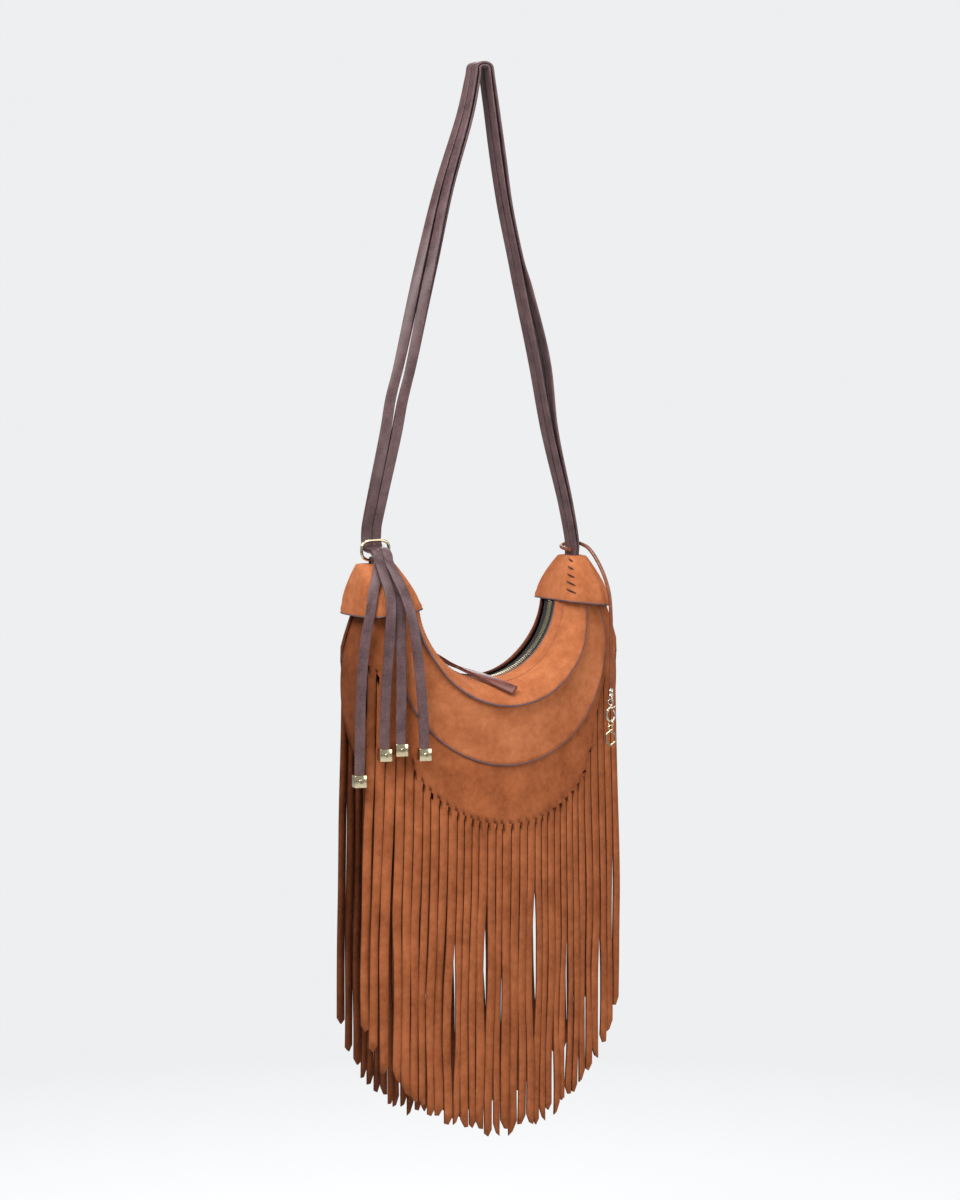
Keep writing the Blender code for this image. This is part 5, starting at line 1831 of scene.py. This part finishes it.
    def ring(self) -> None:
        """Oval ring on the left collar and the suede tab that holds it."""
        centre = Vector((-0.1190, 0.0, self.rim_z + 0.0505))
        shape = Shape()
        wire_ring(shape, centre, Vector((1, 0, 0)), Vector((0, 0, 1)), (0.0152, 0.0098), 0.0015, 0.66, 96)
        fit(shape.build("oval_ring", [self.finishes.gold], 60.0), "ring", "pale_gold", "strap_ring")
        pivot = centre - Vector((0.0, 0.0, 0.0098))
        middle = 0.0019 + 0.0009
        line = [pivot + Vector((0.0, middle, -0.017)), pivot + Vector((0.0, middle, -0.009))]
        line += [pivot + Vector((0.0, middle * math.cos(a), middle * math.sin(a)))
                 for a in (math.pi * k / 14 for k in range(15))]
        line += [pivot + Vector((0.0, -middle, -0.009)), pivot + Vector((0.0, -middle, -0.017))]
        tab = Shape()
        ribbon(tab, line, [Vector((1.0, 0.0, 0.0))] * len(line), 0.0115, 0.0018, 0.0005)
        fit(tab.build("ring_loop", [self.finishes.suede, self.finishes.paint], 50.0), "bag", "tan_suede",
            "ring_tab")

    def build(self) -> None:
        """Make the laces, their cubes and screws, the ring and its tab."""
        for k in range(4):
            self.lace(k)
            self.end_cube(k)
            self.set_screw(k)
        self.ring()


@dataclass(frozen=True)
class ZipSizes:
    """Sizes of the zip along the opening."""

    tape_r: float = 0.0830
    tape_t: float = 0.0008
    tape_in: float = 0.0039
    tape_out: float = 0.0118
    teeth_r: float = 0.0821
    teeth_t: float = 0.0027
    teeth_out: float = 0.0036
    pitch: float = 0.0023
    half_angle: float = 85.4
    tape_half_angle: float = 88.3
    slider_angle: float = -58.0


class Zip:
    """Zip along the curved opening: tapes, teeth, stops, slider, pull and leather puller."""

    PULLER_ROUTE = ((-40.0, 0.0765, -0.002, 0.0), (-30.0, 0.0758, -0.006, 0.05), (-22.0, 0.0758, -0.011, 0.15),
                    (-15.0, 0.0768, -0.0180, 0.35), (-9.0, 0.0788, -0.0265, 0.55), (-4.0, 0.0820, -0.0365, 0.7),
                    (1.0, 0.0864, -0.0465, 0.85), (5.0, 0.0905, -0.0550, 0.95))

    def __init__(self, sizes: ZipSizes, shape: BodyShape, finishes: Finishes) -> None:
        """Keep the sizes."""
        self.sizes = sizes
        self.shape = shape
        self.finishes = finishes
        self.centre = Vector((0.0, 0.0, shape.sizes.rim_z))

    def axes(self, angle: float) -> tuple[Vector, Vector, Vector]:
        """Way along the zip, way across it and way out of the bag at an angle."""
        a = math.radians(angle)
        return (Vector((math.cos(a), 0.0, math.sin(a))), Vector((0.0, 1.0, 0.0)),
                Vector((-math.sin(a), 0.0, math.cos(a))))

    def block(self, shape: Shape, angle: float, length: float, y: tuple[float, float],
              radii: tuple[float, float], bevel: float) -> None:
        """Rounded block across the zip.

        Args:
            shape: Shape that takes it.
            angle: Where it is.
            length: Its length along the zip.
            y: Its two sides.
            radii: Its nearest and farthest distance from the opening's centre.
            bevel: Radius of its edges.
        """
        along, across, out = self.axes(angle)
        middle = self.centre - out * ((radii[0] + radii[1]) / 2.0) + across * ((y[0] + y[1]) / 2.0)
        rounded_box(shape, middle, (along, across, out),
                    (length / 2.0, (y[1] - y[0]) / 2.0, (radii[1] - radii[0]) / 2.0), bevel)

    def tape(self, side: Side, name: str, node: str) -> None:
        """Woven tape of one side."""
        s = self.sizes
        shape = Shape()
        rows = []
        for i in range(121):
            _, _, out = self.axes(s.tape_half_angle * (i / 60.0 - 1.0))
            row = []
            for k in range(9):
                y = s.tape_in + (s.tape_out - s.tape_in) * k / 8
                rib = 0.00018 if k in (1, 2) else 0.0
                row.append(self.centre - out * (s.tape_r - rib) + Vector((0.0, side.value * y, 0.0)))
            rows.append(shape.ring(row))
        for one, two in zip(rows, rows[1:]):
            shape.bridge(one, two, False)
        piece = shape.build(name, [self.finishes.tape], 60.0)
        outward(piece, Vector((0.0, 0.0, 1.0)))
        thicken(piece, s.tape_t)
        fit(piece, "bag", "zip_tape", node)

    def teeth(self, side: Side, name: str, node: str) -> None:
        """Row of metal teeth of one side, set half a step apart from the other row."""
        s = self.sizes
        step = math.degrees(s.pitch / s.teeth_r)
        count = int(2.0 * s.half_angle / step)
        shape = Shape()
        for k in range(count):
            angle = -s.half_angle + step * (k + (0.25 if side is Side.FRONT else 0.75))
            along, across, out = self.axes(angle)
            rings = []
            for y, wide, thin in ((s.teeth_out, 0.46, 0.30), (s.teeth_out - 0.0003, 0.62, 0.0),
                                  (0.0017, 0.62, 0.0), (0.0009, 0.50, 0.12), (-0.0001, 0.50, 0.20),
                                  (-0.0004, 0.34, 0.45)):
                half = s.pitch * wide / 2.0
                low = s.teeth_r + thin * s.teeth_t / 2.0
                high = s.teeth_r + s.teeth_t * (1.0 - thin / 2.0)
                base = self.centre + across * (side.value * y)
                rings.append([base + along * a - out * r for a, r in
                              ((-half, low), (-half * 0.6, low - 0.00012), (half * 0.6, low - 0.00012),
                               (half, low), (half, high), (-half, high))])
            shape.loft(rings)
        piece = shape.build(name, [self.finishes.gold], 40.0, side is Side.BACK)
        fit(piece, "bag", "pale_gold", node)

    def stops(self) -> None:
        """Small stops at both ends of the zip."""
        s = self.sizes
        for name, node, angle in (("end_stop_left", "zip_stop_left", -87.0),
                                  ("end_stop_right", "zip_stop_right", 87.0)):
            shape = Shape()
            self.block(shape, angle, 0.0018, (-s.teeth_out, s.teeth_out), (s.teeth_r, s.teeth_r + s.teeth_t),
                       0.0003)
            fit(shape.build(name, [self.finishes.gold], 40.0), "bag", "pale_gold", node)

    def slider(self) -> tuple[Vector, Vector, Vector]:
        """Slider with its two plates, guards and bail.

        Returns:
            The bail's middle, the way along the zip and the way out.
        """
        s = self.sizes
        angle = s.slider_angle
        along, across, out = self.axes(angle)
        top_high = s.teeth_r - 0.0006
        top_low = top_high - 0.0013
        low_top = s.teeth_r + s.teeth_t + 0.0003
        shape = Shape()
        self.block(shape, angle, 0.0095, (-0.0052, 0.0052), (top_low, top_high), 0.0005)
        self.block(shape, angle, 0.0087, (-0.0044, 0.0044), (low_top, low_top + 0.0013), 0.0004)
        self.block(shape, angle + 2.4, 0.0026, (-0.0004, 0.0004), (top_high - 0.0006, low_top + 0.0006), 0.0002)
        for y in (-0.0047, 0.0047):
            self.block(shape, angle, 0.0076, (y - 0.0004, y + 0.0004), (top_low + 0.0003, s.tape_r - 0.0003),
                       0.0002)
        hub = self.centre - out * (top_low - 0.0030 * 0.55)
        wire_ring(shape, hub, along, out, (0.0030, 0.0030), 0.00075, 1.0, 36)
        fit(shape.build("slider_body", [self.finishes.gold], 40.0), "slider", "pale_gold", "zip_slider")
        return hub, along, out

    def pull(self, hub: Vector, along: Vector, out: Vector) -> Vector:
        """Wire pull through the bail.

        Args:
            hub: The bail's middle.
            along: Way along the zip.
            out: Way out of the bag.

        Returns:
            The pull's far end.
        """
        top = hub + out * (0.0030 - 0.00075 - 0.0008 - 0.0005)
        far = top + along * 0.0125
        side = Vector((0.0, 0.0060, 0.0))
        shape = Shape()
        tube(shape, loop_points([top - side, top + side, far + side, far - side], 0.0018, 5), 0.0008, 10,
             closed=True, normal=out)
        fit(shape.build("wire_pull", [self.finishes.gold], 60.0), "pull", "pale_gold", "zip_pull")
        return far

    def puller(self, far: Vector, along: Vector) -> None:
        """Leather puller folded round the wire pull, its two plies lying on each other."""
        route = [far + along * 0.0034]
        leans = [0.0]
        for angle, radius, y, lean in self.PULLER_ROUTE:
            x, drop = self.shape.polar(angle, radius)
            route.append(Vector((x, y, self.centre.z - drop)))
            leans.append(lean)
        path = curve_points(route, 6)
        outs, sides = [], []
        for i, (p, way) in enumerate(zip(path, tangents(path))):
            j = min(i // 6, len(leans) - 2)
            lean = leans[j] + (leans[j + 1] - leans[j]) * (i / 6 - j)
            inward = (Vector((0.0, p.y, self.centre.z)) - p).normalized()
            out = inward * math.cos(lean) + Vector((0.0, -1.0, 0.0)) * math.sin(lean)
            side = out.cross(way).normalized()
            sides.append(side)
            outs.append(way.cross(side).normalized())
        last = len(path) - 1
        widths = [0.0084 + 0.0026 * smooth(0.0, 0.8, i / last) for i in range(last + 1)]
        gaps = [0.00088 + 0.0007 * (1.0 - smooth(0.0, 7.0, i)) for i in range(last + 1)]
        one = [path[i] + outs[i] * gaps[i] for i in range(last, -1, -1)]
        two = [path[i] - outs[i] * gaps[i] for i in range(last + 1)]
        out = outs[0]
        loop = [far + (out * math.cos(a) - along * math.sin(a)) * 0.00175
                for a in (math.pi * k / 10 for k in range(11))]
        line = [*one, *loop, *two]
        ways = [*reversed(sides), *[sides[0]] * len(loop), *sides]
        wide = [*reversed(widths), *[widths[0]] * len(loop), *widths]
        shape = Shape()
        ribbon(shape, line, ways, wide, 0.0016, 0.0005)
        fit(shape.build("folded_puller", [self.finishes.puller, self.finishes.puller_edge], 55.0), "pull",
            "puller_leather", "leather_puller")

    def build(self) -> None:
        """Make the whole zip."""
        self.tape(Side.FRONT, "tape_front", "zip_tape_front")
        self.tape(Side.BACK, "tape_back", "zip_tape_back")
        self.teeth(Side.FRONT, "teeth_front", "zip_teeth_front")
        self.teeth(Side.BACK, "teeth_back", "zip_teeth_back")
        self.stops()
        hub, along, out = self.slider()
        far = self.pull(hub, along, out)
        self.puller(far, along)


def write_sizes() -> None:
    """Put the solid model's box and the visual model's box together as plain numbers, without keeping them."""
    def plain(box: Sequence[Vector]) -> list[list[float]]:
        """Box as plain numbers."""
        return [[float(v) for v in corner] for corner in box]

    {"cad": plain(CAD_BOX), "visual": plain(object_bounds())}


def main() -> None:
    """Build the bag and its studio in order."""
    logging.basicConfig(level=logging.INFO, format="%(message)s")
    finishes = Finishes()
    Studio(View()).build()
    shape = BodyShape(BodySizes())
    rim_z = shape.sizes.rim_z
    charm_cord = CharmCord(finishes)
    cord = charm_cord.build()
    charm_cord.declare(cord, CharmHardware(finishes).build())
    Body(shape, finishes).build()
    Collars(finishes, rim_z).build()
    Zip(ZipSizes(), shape, finishes).build()
    Strap(LaceSizes(), finishes, rim_z).build()
    write_sizes()


if __name__ == "__main__":
    main()
